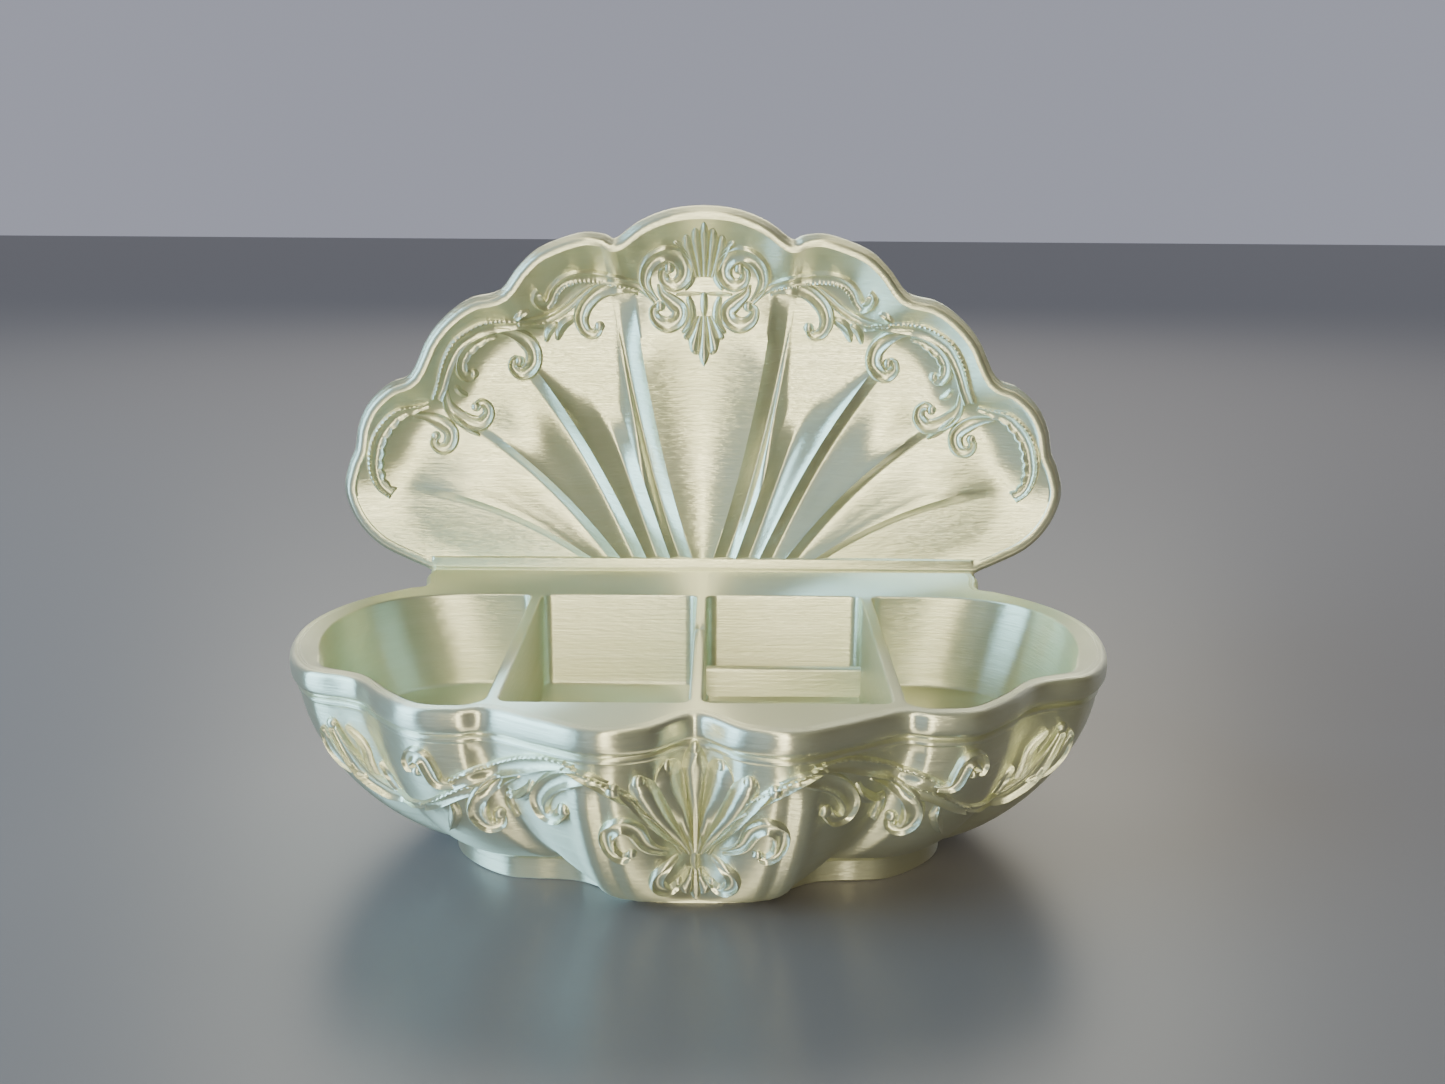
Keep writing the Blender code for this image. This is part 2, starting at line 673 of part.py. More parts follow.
def fan_leaf(name, surface, root, root_width, tips, collection, material):
    """A raised leaf on the middle line: folds run from its root to its tips."""
    ends = []
    for here, there in zip(tips, tips[1:]):
        ends += [(here, 1.0), ((here + there) / 2, 0.35)]
    ends.append((tips[-1], 1.0))
    rows = ((0.0, 0.7), (0.5, 1.0), (0.86, 1.0), (1.0, 0.5))
    front, back = [], []
    for number, (tip, fold) in enumerate(ends):
        start = Vector((root_width * (number / (len(ends) - 1) - 0.5), root))
        if tips[0].x > tips[-1].x:
            start.x = -start.x
        fall = (tip - start) * (0.93 if fold < 1.0 else 1.0)
        for share, rise in rows:
            point, normal = surface(*(start + fall * share))
            front.append(point + normal * RELIEF * rise * fold)
            back.append(point - normal * RELIEF_ROOT)
    bm = bmesh.new()
    count = len(rows)
    tops = [bm.verts.new(point) for point in front]
    bottoms = [bm.verts.new(point) for point in back]
    border = []
    for column in range(len(ends) - 1):
        for row in range(count - 1):
            corner = column * count + row
            spots = (corner, corner + count, corner + count + 1, corner + 1)
            bm.faces.new([tops[spot] for spot in spots])
            bm.faces.new([bottoms[spot] for spot in reversed(spots)])
    last = (len(ends) - 1) * count
    border += [column * count for column in range(len(ends))]
    border += [last + row for row in range(1, count)]
    border += [column * count + count - 1 for column in range(len(ends) - 2, -1, -1)]
    border += list(range(count - 2, 0, -1))
    for number, spot in enumerate(border):
        before = border[number - 1]
        bm.faces.new((tops[before], bottoms[before], bottoms[spot], tops[spot]))
    return helper(solid(name, bm, material), collection)


def ornament(lid, base, collection, material):
    """Every scroll and leaf of the lid and of the base."""
    pieces = []
    lid_size = Vector((LID_WIDTH / 2, LID_HEIGHT))
    base_size = Vector((BASE_WIDTH / 2, RIM_HEIGHT))
    foot = Vector((0.0, RIM_HEIGHT))
    for word, thing, scrolls, size, start in (
            ("lid", lid, LID_SCROLLS, lid_size, foot), ("base", base, BASE_SCROLLS, base_size, Vector((0.0, 0.0)))):
        surface = surface_of(thing)
        for number, (width, points) in enumerate(scrolls):
            for side in (1.0, -1.0):
                line = [Vector((side * x * size.x, z * size.y)) + start for x, z in points]
                name = "%s_scroll_%d_%s" % (word, number + 1, "right" if side > 0 else "left")
                pieces.append(scroll(name, surface, line, width * SCROLL_WIDTH, collection, material))
    for number, (root, root_width, tips) in enumerate(LID_LEAVES):
        ends = [Vector((x * lid_size.x, z * lid_size.y)) + foot for x, z in tips]
        up = root * lid_size.y + RIM_HEIGHT
        width = root_width * lid_size.x
        name = "lid_leaf_%d" % (number + 1)
        pieces.append(fan_leaf(name, surface_of(lid), up, width, ends, collection, material))
    root, root_width, tips = PALMETTE
    ends = [Vector((x * base_size.x, z * base_size.y)) for x, z in tips]
    up, width = root * base_size.y, root_width * base_size.x
    pieces.append(fan_leaf("base_palmette", surface_of(base), up, width, ends, collection, material))
    return pieces


def join(thing, operation, collection):
    modifier = thing.modifiers.new(operation.lower(), "BOOLEAN")
    modifier.operation = operation
    modifier.operand_type = "COLLECTION"
    modifier.collection = collection
    modifier.solver = "EXACT"


def tool_collection(name):
    collection = bpy.data.collections.new(name)
    bpy.context.scene.collection.children.link(collection)
    return collection


def stand_on_origin(things):
    """Move every mesh so that the origin is under the middle of the finished box of space."""
    depth = BASE_DEPTH + DISH_DEPTH + LID_WALL - LID_SEAT + BACK_FLUTE
    middle = (depth / 2) - BASE_DEPTH
    for thing in things:
        for vertex in thing.data.vertices:
            vertex.co.y -= middle
        thing.data.update()


def build():
    for thing in list(bpy.data.objects):
        bpy.data.objects.remove(thing, do_unlink=True)
    material = silk_plastic()
    cuts, additions = tool_collection("cuts"), tool_collection("additions")
    box = base_solid(material)
    tools = []
    for side, word in ((-1, "left"), (1, "right")):
        top, floor = middle_outline(side, front_line()), middle_outline(side, front_line() + FRONT_SLOPE)
        tools.append(pocket("middle_%s" % word, top, floor, cuts, material))
        top, floor = end_outlines(side)
        tools.append(pocket("end_%s" % word, top, floor, cuts, material))
    for number in range(BARS):
        tools.append(ring_bar(number, additions, material))
    lid = lid_solid(additions, material)
    tools.append(lid)
    tools += ornament(lid, box, additions, material)
    join(box, "DIFFERENCE", cuts)
    join(box, "UNION", additions)
    stand_on_origin([box] + tools)


build()
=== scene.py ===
"""Shell jewellery box with an upright shell lid, printed in pearl-white silk plastic.

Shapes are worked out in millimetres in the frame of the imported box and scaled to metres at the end.
"""
from math import cos, exp, pi, radians, sin

import bmesh
import bpy
from mathutils import Euler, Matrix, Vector
from mathutils.bvhtree import BVHTree


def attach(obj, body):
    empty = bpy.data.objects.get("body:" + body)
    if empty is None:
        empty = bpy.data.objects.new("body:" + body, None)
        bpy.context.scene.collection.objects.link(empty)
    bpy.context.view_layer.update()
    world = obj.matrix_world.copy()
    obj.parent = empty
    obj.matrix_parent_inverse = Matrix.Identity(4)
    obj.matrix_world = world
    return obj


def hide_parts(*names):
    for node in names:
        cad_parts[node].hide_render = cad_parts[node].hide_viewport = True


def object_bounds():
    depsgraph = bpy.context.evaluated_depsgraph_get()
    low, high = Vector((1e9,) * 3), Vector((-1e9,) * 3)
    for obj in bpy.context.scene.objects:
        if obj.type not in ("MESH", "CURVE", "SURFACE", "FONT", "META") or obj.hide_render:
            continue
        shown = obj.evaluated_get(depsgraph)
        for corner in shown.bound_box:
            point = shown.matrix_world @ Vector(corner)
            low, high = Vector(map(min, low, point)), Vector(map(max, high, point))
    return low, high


MM = 0.001

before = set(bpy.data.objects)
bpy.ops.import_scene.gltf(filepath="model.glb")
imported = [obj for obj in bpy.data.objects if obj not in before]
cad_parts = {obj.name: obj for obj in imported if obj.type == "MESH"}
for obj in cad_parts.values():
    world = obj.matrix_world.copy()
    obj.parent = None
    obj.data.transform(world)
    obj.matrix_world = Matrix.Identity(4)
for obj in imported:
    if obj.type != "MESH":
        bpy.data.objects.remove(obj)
cad_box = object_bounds()

# Base, in millimetres
BASE_WIDTH = 202.0
BASE_DEPTH = 127.5
RIM_HEIGHT = 52.0
RIM_ROUNDING = 1.6
BAND_HEIGHT = 6.2
BAND_UNDERCUT = 1.9
FOOT_WIDTH = 121.0
FOOT_HEIGHT = 6.5
FOOT_CREASE = 1.2
LOBE_FOOT = 0.1
BOWL_FULLNESS = 1.65
FLUTE_DEPTH = 1.5
NARROW_RIB = 0.9
BOWL_TOP = RIM_HEIGHT - 1.4 * BAND_HEIGHT

# Compartments
FLOOR_HEIGHT = 26.0
END_WALL = 7.0
BACK_ROUND = 15.0
BACK_RUN = 25.0
LOBE_WALL = 3.4
BOWL_WALL = 2.6
FRONT_SLOPE = 4.5
FRONT_WALL = 17.0
DIVIDER = 3.0
MIDDLE_WIDTH = 42.0
END_START = DIVIDER * 1.5 + MIDDLE_WIDTH
CORNER_FLARE = 3.0
POCKET_EDGE = 0.6
BAR_THICKNESS = 3.0
BAR_HEIGHT = 8.5
BAR_BEHIND = 6.0
BAR_PITCH = 27.0
BARS = 2

# Deck and lid
LID_SEAT = 6.0
DECK_DEPTH = 23.2
LID_WIDTH = 203.6
LID_HEIGHT = 102.3
RAIL_HEIGHT = 4.0
LID_RIM = 2.6
LID_ROLL = 1.1
LID_EDGE = 5.5
DISH_DEPTH = 11.0
DISH_SLOPE = 15.0
DISH_BOW = 8.0
LID_WALL = 3.0
FAN_START = 38.0
RIB_HEIGHT = 3.6
RIB_DROP = 3.8
RIB_SPREAD = 0.28
MIDDLE_RIB = 0.65
FAN_BEND = 10.6
BACK_FLUTE = 1.6

# Raised ornament
RELIEF = 1.45
ROOT = 1.0
BEAD_PITCH = 1.3
BEAD_STEP = 0.33
SCROLL_STEP = 0.6
TOOTH_PITCH = 3.4
DROP_WIDTH = 2.6
KNOB_SHARE = 0.30

# How finely the shapes are divided
COLUMNS_A_KEY = 7
BOWL_LEVELS = 26
END_COLUMNS_A_KEY = 5
LID_ROWS = 48
FLANK_COLUMNS = 7
SLOPE_COLUMNS = 13
OUTER_COLUMNS = 22
SHARP_ANGLE = 38.0
WELD = 0.002

# Print: the height of a layer and the distance between the nozzle's strokes, in millimetres, how slanting
# those are, and how fine the marks are across, along and up, counted a metre
LAYER = 0.2
HATCH = 0.45
HATCH_SLANT = 0.8
HATCH_SLANT_LENGTH = 1.28
STREAKS = (22.0, 22.0, 1500.0)
BANDS = (9.0, 9.0, 320.0)
RAGGED = (260.0, 260.0, 1900.0)
PATCHES = (34.0, 34.0, 34.0)
PEARL_LOW = (0.800, 0.815, 0.600, 1.0)
PEARL_HIGH = (0.860, 0.870, 0.680, 1.0)
ROUGHNESS = 0.31
METALLIC = 0.9
ANISOTROPIC = 1.0
SHEEN_TURN = 0.25

# The back edge of the base: the lid's fluted back is the furthest point behind it.
BACK_EDGE = cad_box[1][1] / MM - (DISH_DEPTH + LID_WALL - LID_SEAT + BACK_FLUTE)

# The right half of the base, from the middle of the back to the middle of the front: a place on the rim and
# the place on the foot below it, across as a share of half the width, forward as a share of the depth.
BASE_KEYS = (
    (0.000, 0.000, 0.00, 0.247),
    (0.700, 0.000, 0.64, 0.247),
    (0.780, 0.060, 0.82, 0.256),
    (0.768, 0.157, 0.90, 0.280),
    (0.812, 0.184, 0.95, 0.310),
    (0.895, 0.248, 0.98, 0.345),
    (0.960, 0.329, 1.00, 0.392),
    (0.997, 0.427, 1.01, 0.447),
    (0.997, 0.533, 1.01, 0.518),
    (0.967, 0.635, 1.00, 0.588),
    (0.901, 0.717, 0.95, 0.645),
    (0.781, 0.759, 0.85, 0.695),
    (0.703, 0.835, 0.75, 0.725),
    (0.614, 0.900, 0.65, 0.733),
    (0.515, 0.911, 0.54, 0.736),
    (0.446, 0.904, 0.45, 0.745),
    (0.340, 0.952, 0.36, 0.772),
    (0.215, 1.000, 0.24, 0.811),
    (0.095, 0.982, 0.12, 0.819),
    (0.000, 0.922, 0.00, 0.820),
)
# Places on the base's outline, counted in keys: between two lobes, the first of an end compartment's wall,
# how far a flute reaches from its notch, and the narrow rib on a front lobe with the groove beside it.
BASE_NOTCHES = (11, 15, 19)
END_KEY = 4
FLUTE_REACH = 0.8
NARROW_RIB_START = 16.42
NARROW_RIB_END = 17.0
NARROW_GROOVE = 17.08

# Where the wall of the rim gets narrower, as shares of the depth
NARROWING_START = 0.62
NARROWING_RUN = 0.16

# The right half of the lid's outline from its foot to its top.
LID_KEYS = (
    (0.776, -0.010),
    (0.781, 0.008),
    (0.830, 0.031),
    (0.914, 0.076),
    (0.972, 0.142),
    (1.000, 0.225),
    (0.985, 0.298),
    (0.965, 0.342),
    (0.953, 0.406),
    (0.921, 0.469),
    (0.866, 0.518),
    (0.801, 0.550),
    (0.749, 0.650),
    (0.691, 0.714),
    (0.629, 0.753),
    (0.550, 0.775),
    (0.496, 0.841),
    (0.437, 0.890),
    (0.334, 0.927),
    (0.275, 0.925),
    (0.236, 0.914),
    (0.167, 0.961),
    (0.088, 0.991),
    (0.000, 1.000),
)
LID_NOTCHES = (7, 11, 15, 20)

# Ribs inside the lid, from the outermost: the ridge's start along the rail as a share of FAN_START, the
# place on the outline that it runs to, its reach, and its bend as a share of FAN_BEND.
LID_RIBS = (
    (0.850, 5.2, 0.82, 1.00),
    (0.630, 10.2, 0.76, 1.00),
    (0.430, 13.8, 0.80, 0.64),
    (0.250, 17.1, 0.50, 0.00),
    (0.078, 20.0, 0.92, -0.57),
)

# Raised lines of the left side of the lid: the kind, the greatest width, and the middle line, in millimetres
# across from the middle and up from the lid's foot.
LID_LINES = (
    ("arch", 5.2, ((-77.8, 47.6), (-82.4, 46.2), (-86.2, 45.1), (-89.5, 42.1), (-92.1, 37.9), (-93.3, 32.6),
                   (-93.3, 28.5), (-91.9, 24.6), (-88.8, 22.0))),
    ("curl", 4.6, ((-83.4, 44.7), (-79.4, 43.9), (-75.8, 42.4), (-72.9, 40.1), (-72.4, 37.6), (-73.5, 35.3),
                   (-75.8, 34.8), (-77.3, 36.4), (-76.7, 38.4))),
    ("rope", 5.2, ((-45.1, 69.3), (-50.4, 70.2), (-55.7, 70.3), (-61.2, 69.5), (-65.3, 67.7), (-69.0, 64.9),
                   (-71.4, 61.2), (-73.0, 57.3), (-74.2, 53.2), (-76.0, 48.6))),
    ("curl", 5.2, ((-60.0, 68.9), (-55.5, 68.4), (-51.7, 66.5), (-49.1, 63.5), (-48.5, 60.2), (-49.7, 57.3),
                   (-52.3, 56.2), (-54.3, 57.9), (-53.9, 59.9), (-52.5, 59.6))),
    ("tooth", 4.6, ((-58.1, 67.2), (-62.2, 66.2), (-65.8, 64.0), (-68.2, 61.0), (-68.8, 57.7), (-67.5, 55.4),
                    (-65.4, 56.1))),
    ("curl", 4.8, ((-73.3, 52.4), (-73.0, 47.4), (-70.6, 44.2), (-67.1, 42.2), (-63.9, 41.9), (-61.9, 44.2),
                   (-62.1, 46.5), (-63.8, 47.7), (-65.3, 46.5))),
    ("husk", 2.6, ((-72.6, 45.2), (-68.6, 41.2), (-63.9, 38.0))),
    ("husk", 2.4, ((-70.9, 53.2), (-69.3, 50.8), (-67.0, 49.8))),
    ("rope", 4.4, ((-13.9, 77.0), (-19.4, 81.0), (-27.7, 83.3), (-34.6, 83.9), (-39.3, 82.6), (-42.2, 80.0),
                   (-43.5, 77.1), (-44.9, 75.7), (-46.6, 76.5), (-47.2, 78.5), (-46.0, 79.9))),
    ("curl", 5.0, ((-18.1, 79.0), (-23.7, 80.4), (-28.6, 79.8), (-31.7, 77.7), (-34.1, 74.6), (-34.8, 71.1),
                   (-33.4, 68.0), (-30.9, 67.5), (-29.7, 69.5))),
    ("rope", 2.8, ((-27.8, 82.4), (-32.2, 80.6), (-35.6, 77.8), (-39.1, 74.6), (-43.1, 72.4), (-47.6, 71.2),
                   (-52.8, 71.2))),
    ("husk", 3.4, ((-36.2, 72.3), (-40.2, 69.7), (-42.0, 65.1))),
    ("husk", 2.8, ((-41.0, 70.6), (-43.8, 68.4), (-45.1, 64.6))),
    ("husk", 2.8, ((-53.4, 71.4), (-50.9, 73.4), (-48.6, 74.4))),
    ("curl", 5.6, ((-13.2, 76.2), (-15.6, 79.4), (-16.8, 82.9), (-16.1, 86.5), (-13.8, 89.2), (-10.6, 90.3),
                   (-7.4, 89.2), (-5.6, 86.4), (-5.9, 83.2), (-8.3, 81.3), (-10.9, 82.2), (-11.5, 84.7),
                   (-9.9, 86.0))),
    ("curl", 5.0, ((-12.6, 82.0), (-11.9, 79.0), (-9.2, 76.6), (-6.9, 74.3), (-7.5, 71.6), (-10.4, 70.2),
                   (-13.3, 71.6), (-14.2, 74.2), (-12.4, 75.4))),
    ("husk", 3.0, ((-8.7, 93.8), (-5.2, 91.2), (-3.4, 87.0), (-3.7, 82.5), (-5.6, 79.4))),
    ("husk", 3.0, ((-4.6, 78.6), (-3.6, 74.4), (-3.9, 70.4), (-6.6, 67.6))),
    ("husk", 1.5, ((-8.4, 78.6), (-4.0, 78.9), (-0.2, 78.9))),
)
# Leaves on the lid's middle line: the root's height and width, then the tips of its folds.
LID_LEAVES = (
    (83.0, 6.4, ((-8.0, 93.2), (-5.4, 95.2), (-2.8, 97.2), (0.0, 99.2), (2.8, 97.2), (5.4, 95.2),
                 (8.0, 93.2))),
    (73.0, 3.6, ((6.2, 67.2), (3.6, 62.6), (0.0, 58.4), (-3.6, 62.6), (-6.2, 67.2))),
)
# The husk between the leaves
LID_DROP = ((0.0, 79.8), (0.0, 76.0), (0.0, 72.0))

# Raised lines of the left side of the base, in millimetres across from the middle and up from the table.
BASE_LINES = (
    ("rope", 2.9, ((-2.8, 16.5), (-7.6, 28.1), (-11.8, 33.1), (-20.0, 38.6), (-28.4, 42.6))),
    ("curl", 4.4, ((-5.6, 18.6), (-8.8, 20.8), (-10.9, 22.9), (-13.0, 26.9), (-16.1, 28.6), (-18.7, 26.0),
                   (-18.2, 22.1), (-16.0, 19.8), (-13.8, 20.5))),
    ("curl", 3.8, ((-3.4, 16.6), (-5.6, 15.7), (-8.2, 13.1), (-8.4, 9.8), (-6.3, 7.6), (-3.8, 9.1))),
    ("curl", 5.4, ((-17.9, 38.8), (-22.0, 40.2), (-25.3, 39.9), (-28.8, 38.5), (-32.0, 35.6), (-33.7, 31.8),
                   (-32.7, 28.6), (-30.2, 28.2), (-28.3, 31.0))),
    ("husk", 3.4, ((-35.2, 36.8), (-36.2, 33.5), (-39.5, 30.3), (-42.5, 31.2))),
    ("husk", 3.0, ((-41.9, 31.2), (-41.1, 26.2), (-39.3, 23.3))),
    ("rope", 5.0, ((-25.2, 42.2), (-32.1, 41.6), (-38.2, 39.4), (-44.4, 36.3), (-49.7, 35.2), (-54.3, 33.1))),
    ("curl", 4.4, ((-52.3, 33.0), (-56.8, 33.6), (-58.5, 36.8), (-59.9, 39.7), (-62.3, 40.0), (-63.5, 37.4),
                   (-61.9, 35.6))),
    ("curl", 5.4, ((-38.3, 37.2), (-43.4, 33.9), (-46.6, 31.8), (-48.4, 29.0), (-48.6, 25.0), (-46.9, 22.0),
                   (-44.4, 22.1), (-44.2, 24.6))),
    ("rope", 3.4, ((-43.4, 34.5), (-47.8, 32.6), (-51.8, 31.3), (-55.8, 29.1), (-61.7, 24.8))),
    ("husk", 3.2, ((-54.7, 29.6), (-54.0, 25.0), (-55.9, 18.6))),
    ("curl", 5.0, ((-61.0, 25.6), (-66.4, 22.6), (-70.6, 21.6), (-74.2, 22.9), (-78.8, 26.6), (-82.4, 32.4),
                   (-85.4, 39.1))),
    ("husk", 3.2, ((-69.4, 21.8), (-72.0, 26.3), (-74.5, 30.7))),
    ("husk", 3.6, ((-75.2, 23.7), (-77.5, 29.6), (-78.6, 34.5), (-82.3, 39.5))),
    ("husk", 3.6, ((-77.2, 25.0), (-82.6, 27.4), (-85.8, 30.6), (-87.4, 34.3), (-87.9, 38.8))),
)
# The shell on the front with its seven rays, and the leaf and the husk under it.
PALMETTE = (15.5, 3.4, ((18.2, 38.6), (12.6, 40.2), (6.4, 42.0), (0.0, 45.0), (-6.4, 42.0), (-12.6, 40.2),
                        (-18.2, 38.6)))
PALMETTE_LIFT = 1.35
PALMETTE_KNOB = 1.7
BASE_LEAF = (12.4, 3.4, ((5.0, 8.0), (2.8, 4.8), (0.0, 1.6), (-2.8, 4.8), (-5.0, 8.0)))
BASE_DROP = ((0.0, 17.0), (0.0, 14.0), (0.0, 10.6))

# The photograph's width and focal length in pixels, and the camera's place in millimetres and degrees: its
# distance is counted from the front edge of the deck.
PHOTO_WIDTH = 1445.0
FOCAL_LENGTH = 1440.0
SENSOR_WIDTH = 36.0
DECK_EDGE = 26.0
CAMERA_RIGHT = 5.66
CAMERA_DISTANCE = 381.32
CAMERA_HEIGHT = 166.11
CAMERA_PITCH = 14.671
CAMERA_ROLL = 0.4

# The table, in metres
TABLE_SIZE = 3.0
TABLE_COLOUR = (0.16, 0.152, 0.165, 1.0)
TABLE_ROUGHNESS = 0.38

# Lights: the angle round the box, the distance, the height, the width and height of the light, its radiance
# and its colour. They aim at a point above the table.
LIGHTS = (
    ("front", 0.0, 1.1, 0.45, (0.13, 0.90), 25.0, (1.0, 0.90, 0.60)),
    ("left", -26.0, 1.1, 0.50, (0.42, 0.90), 0.9, (0.70, 0.90, 1.0)),
    ("window", -72.0, 1.1, 0.40, (0.75, 1.00), 10.0, (0.42, 0.74, 1.0)),
    ("overhead", 180.0, 0.90, 0.75, (1.00, 0.70), 5.0, (1.0, 0.96, 0.78)),
)
LIGHT_AIM = (0.0, 0.0, 0.08)

# The room: a cool dim left, then each tone from one place on an axis to another. It is warmer towards the
# middle, dim on the right and pale behind the box.
ROOM_LEFT = (0.18, 0.24, 0.30, 1.0)
ROOM_TONES = (
    ("X", -0.7, 0.1, (0.30, 0.29, 0.21, 1.0)),
    ("X", 0.4, 0.8, (0.045, 0.040, 0.030, 1.0)),
    ("Y", 0.1, 0.7, (0.36, 0.37, 0.44, 1.0)),
)


def smooth(value):
    """Rise from 0 to 1 with level ends."""
    value = min(max(value, 0.0), 1.0)
    return value * value * (3.0 - 2.0 * value)


def mix(a, b, share):
    return a + (b - a) * share


def mirrored(key):
    return [-value if number % 2 == 0 else value for number, value in enumerate(key)]


def along(keys, place):
    """Point at a place, counted in keys, on the smooth curve through the keys of a mirrored half."""
    last = len(keys) - 1
    start = min(int(place), last - 1)
    share = place - start
    before = keys[start - 1] if start > 0 else keys[0]
    after = keys[start + 2] if start + 2 <= last else mirrored(keys[last - 1])
    if start == 0 and keys[0][0] == 0.0:
        before = mirrored(keys[1])
    point = []
    for a, b, c, d in zip(before, keys[start], keys[start + 1], after):
        turn = 2.0 * a - 5.0 * b + 4.0 * c - d
        snap = 3.0 * b - a - 3.0 * c + d
        point.append(0.5 * (2.0 * b + (c - a) * share + turn * share ** 2 + snap * share ** 3))
    return point


def inward(points, closed=True):
    """Unit normals to the left of a path, which is inwards when it runs anticlockwise."""
    count = len(points)
    normals = []
    for number in range(count):
        before = points[number - 1] if closed or number > 0 else points[0]
        after = points[(number + 1) % count] if closed or number < count - 1 else points[-1]
        run = Vector((after[0] - before[0], after[1] - before[1])).normalized()
        normals.append(Vector((-run.y, run.x)))
    return normals


def sheet(bm, columns, rows, place, outside=None):
    """A grid of quads bent so that column u and row v are at place(u, v). It faces the given direction."""
    made = bmesh.ops.create_grid(bm, x_segments=columns, y_segments=rows, size=1.0)["verts"]
    for vert in made:
        u = round((vert.co.x + 1.0) / 2.0 * columns)
        v = round((vert.co.y + 1.0) / 2.0 * rows)
        vert.co = place(u, v)
    if outside is not None:
        u, v = columns // 2, rows // 2
        across = place(u + 1, v) - place(u, v)
        along_it = place(u, v + 1) - place(u, v)
        if across.cross(along_it).dot(outside) < 0.0:
            faces = list({face for vert in made for face in vert.link_faces})
            bmesh.ops.reverse_faces(bm, faces=faces)


def weld(bm):
    bmesh.ops.remove_doubles(bm, verts=bm.verts, dist=WELD)


def piece(name, bm, material):
    """A finished piece in metres with its place in its mesh."""
    bmesh.ops.scale(bm, vec=(MM, MM, MM), verts=bm.verts)
    mesh = bpy.data.meshes.new(name)
    bm.to_mesh(mesh)
    bm.free()
    mesh.materials.append(material)
    for face in mesh.polygons:
        face.use_smooth = True
    mesh.set_sharp_from_angle(angle=radians(SHARP_ANGLE))
    thing = bpy.data.objects.new(name, mesh)
    bpy.context.scene.collection.objects.link(thing)
    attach(thing, "root")
    return thing


# Material

class Socket:
    """A shader value that takes part in Python expressions."""

    def __init__(self, nodes, socket):
        self.nodes = nodes
        self.socket = socket

    def math(self, operation, *others):
        values = [self] + list(others)
        return self.nodes.add("ShaderNodeMath", {"operation": operation}, dict(enumerate(values)))

    def __add__(self, other):
        return self.math("ADD", other)

    def __radd__(self, other):
        return self.math("ADD", other)

    def __sub__(self, other):
        return self.math("SUBTRACT", other)

    def __rsub__(self, other):
        return (self * -1.0) + other

    def __mul__(self, other):
        return self.math("MULTIPLY", other)

    def __rmul__(self, other):
        return self.math("MULTIPLY", other)

    def sine(self):
        return self.math("SINE")

    def between(self, low, high):
        """0 below low, 1 above high and smooth between."""
        settings = {"interpolation_type": "SMOOTHSTEP"}
        return self.nodes.add("ShaderNodeMapRange", settings, {0: self, 1: low, 2: high})


class Nodes:
    """The nodes of one new material or world."""

    def __init__(self, name, kept_in):
        self.owner = kept_in.new(name)
        self.owner.use_nodes = True
        self.tree = self.owner.node_tree

    def add(self, kind, settings=None, values=None, output=0):
        node = self.tree.nodes.new(kind)
        for name, value in (settings or {}).items():
            setattr(node, name, value)
        for key, value in (values or {}).items():
            self.feed(node.inputs[key], value)
        return Socket(self, node.outputs[output])

    def axes(self, vector):
        """The three values of a vector."""
        return {
            axis: self.add("ShaderNodeSeparateXYZ", None, {0: vector}, output=number)
            for number, axis in enumerate("XYZ")
        }

    def marks(self, place, scale):
        """Noise whose fineness differs across, along and up."""
        stretched = self.add("ShaderNodeMapping", None, {0: place, 3: scale})
        return self.add("ShaderNodeTexNoise", None, {"Vector": stretched, "Scale": 1.0, "Detail": 2.0})

    def feed(self, socket, value):
        if isinstance(value, Socket):
            self.tree.links.new(value.socket, socket)
        else:
            socket.default_value = value

    def finish(self, kind, values):
        """Feed the node that the tree begins with."""
        for key, value in values.items():
            self.feed(self.tree.nodes[kind].inputs[key], value)
        return self.owner


def silk_plastic():
    """Pearl silk plastic: level print layers on its sides, slanting strokes of the nozzle on level tops."""
    nodes = Nodes("pearl_silk_plastic", bpy.data.materials)
    place = nodes.add("ShaderNodeTexCoord", output=3)
    axes = nodes.axes(place)
    normal = nodes.add("ShaderNodeNewGeometry", output=1)
    up = nodes.add("ShaderNodeSeparateXYZ", None, {0: normal}, output=2)
    level = up.between(0.96, 0.995)
    layers = (axes["Z"] * (2 * pi / (LAYER * MM))).sine()
    slant = (axes["X"] * HATCH_SLANT + axes["Y"]) * (2 * pi / (HATCH * HATCH_SLANT_LENGTH * MM))
    hatch = slant.sine()
    streaks, bands = nodes.marks(place, STREAKS), nodes.marks(place, BANDS)
    ragged, patches = nodes.marks(place, RAGGED), nodes.marks(place, PATCHES)
    side = 1.0 - level
    height = side * (layers * 0.006 + streaks * 0.08 + bands * 0.05 + ragged * 0.10)
    height = height + level * (hatch * 0.008 + ragged * 0.02)
    bump = nodes.add("ShaderNodeBump", None, {"Strength": 1.0, "Distance": MM, "Height": height})
    tone = nodes.add("ShaderNodeMix", {"data_type": "RGBA"}, {
        0: (patches * 0.6 + bands * 0.4).between(0.35, 0.65),
        6: PEARL_LOW,
        7: PEARL_HIGH,
    }, output=2)
    return nodes.finish("Principled BSDF", {
        "Base Color": tone,
        "Normal": bump,
        "Roughness": ROUGHNESS + streaks * 0.12 + level * 0.14,
        "Metallic": METALLIC,
        "Anisotropic": ANISOTROPIC,
        "Anisotropic Rotation": SHEEN_TURN,
    })


# Base

def y_at(forward):
    return BACK_EDGE - forward


def base_keys():
    keys = []
    for rim_x, rim_y, foot_x, foot_y in BASE_KEYS:
        rim = (rim_x * (BASE_WIDTH / 2), y_at(rim_y * BASE_DEPTH))
        keys.append(rim + (foot_x * (FOOT_WIDTH / 2), y_at(foot_y * BASE_DEPTH)))
    return keys


